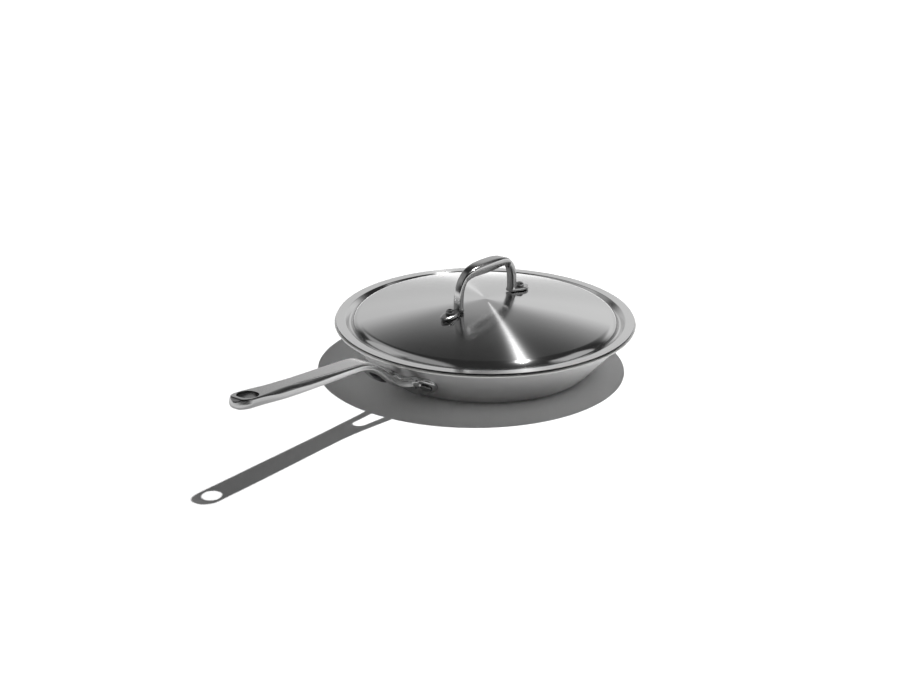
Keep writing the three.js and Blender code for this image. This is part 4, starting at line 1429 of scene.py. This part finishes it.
class FRYINGPAN_OT_stage(bpy.types.Operator):
    """Build the floor, the lamps, the surroundings and the camera"""

    bl_idname = "frying_pan.stage"
    bl_label = "Stage"

    def execute(self, context):
        scene = context.scene
        corners = FLOOR_HALF * np.array([(-1, -1, 0), (1, -1, 0), (1, 1, 0), (-1, 1, 0)])
        mesh = make_mesh("floor", (corners, [[0, 1, 2, 3]], None))
        mesh.materials.append(floor_material(scene.frying_pan.finishes.floor))
        floor = bpy.data.objects.new("floor", mesh)
        scene.collection.objects.link(floor)

        # The key lamp is not seen in reflections. The narrow gleam is, and it falls on the lid and its loop
        # alone, because in the open pan it would clip to white.
        gleaming = bpy.data.collections.new("in_the_gleam")
        for piece in GLEAMING_PIECES:
            gleaming.objects.link(bpy.data.objects[piece])
        lamps = (
            ("key_lamp", KEY_PLACE, KEY_SIZE, KEY_POWER, None),
            ("gleam_lamp", GLEAM_PLACE, GLEAM_SIZE, GLEAM_POWER, gleaming),
        )
        for name, place, width, power, lit_pieces in lamps:
            lamp = bpy.data.lights.new(name, "AREA")
            lamp.shape = "DISK"
            lamp.size = width
            lamp.energy = power
            stand = bpy.data.objects.new(name, lamp)
            stand.location = place
            stand.rotation_mode = "QUATERNION"
            stand.rotation_quaternion = (-Vector(place)).to_track_quat("-Z", "Y")
            stand.visible_glossy = lit_pieces is not None
            stand.light_linking.receiver_collection = lit_pieces
            scene.collection.objects.link(stand)

        scene.world = studio_world()

        view = bpy.data.cameras.new("camera")
        view.lens = CAMERA_LENS
        view.sensor_width = CAMERA_SENSOR
        camera = bpy.data.objects.new("camera", view)
        camera.location = CAMERA_PLACE
        camera.rotation_mode = "QUATERNION"
        level = Vector(CAMERA_AHEAD).to_track_quat("-Z", "Y")
        camera.rotation_quaternion = level @ Quaternion((0, 0, 1), CAMERA_ROLL)
        scene.collection.objects.link(camera)
        scene.camera = camera
        scene.view_settings.view_transform = "Standard"
        return {"FINISHED"}


class FRYINGPAN_PT_panel(bpy.types.Panel):
    """Lists the pieces and their sizes"""

    bl_label = "Frying pan"
    bl_idname = "FRYINGPAN_PT_panel"
    bl_space_type = "VIEW_3D"
    bl_region_type = "UI"
    bl_category = "Frying pan"

    def draw(self, context):
        settings = context.scene.frying_pan
        for operator in OPERATORS:
            self.layout.operator(operator.bl_idname)
        for part in ("bowl", "handle", "rivets", "lid", "loop", "finishes"):
            group = getattr(settings, part)
            box = self.layout.box()
            for key in group.bl_rna.properties.keys():
                if key not in {"rna_type", "name"}:
                    box.prop(group, key)


GROUPS = (BowlSizes, HandleSizes, RivetSizes, LidSizes, LoopSizes, Finishes, FryingPanSettings)
OPERATORS = (
    FRYINGPAN_OT_bowl,
    FRYINGPAN_OT_handle,
    FRYINGPAN_OT_handle_rivets,
    FRYINGPAN_OT_lid,
    FRYINGPAN_OT_loop,
    FRYINGPAN_OT_lid_rivets,
    FRYINGPAN_OT_stage,
)


def register():
    """Registers every class and hangs the settings on the scene."""
    for group in (*GROUPS, *OPERATORS, FRYINGPAN_PT_panel):
        bpy.utils.register_class(group)
    bpy.types.Scene.frying_pan = PointerProperty(type=FryingPanSettings)


def unregister():
    """Takes back what register did."""
    del bpy.types.Scene.frying_pan
    for group in reversed((*GROUPS, *OPERATORS, FRYINGPAN_PT_panel)):
        bpy.utils.unregister_class(group)


def main():
    """Builds the pan and its stage."""
    register()
    bpy.ops.frying_pan.bowl()
    bpy.ops.frying_pan.handle()
    bpy.ops.frying_pan.handle_rivets()
    bpy.ops.frying_pan.lid()
    bpy.ops.frying_pan.loop()
    bpy.ops.frying_pan.lid_rivets()
    bpy.ops.frying_pan.stage()
    bpy.context.view_layer.update()


if __name__ == "__main__":
    main()
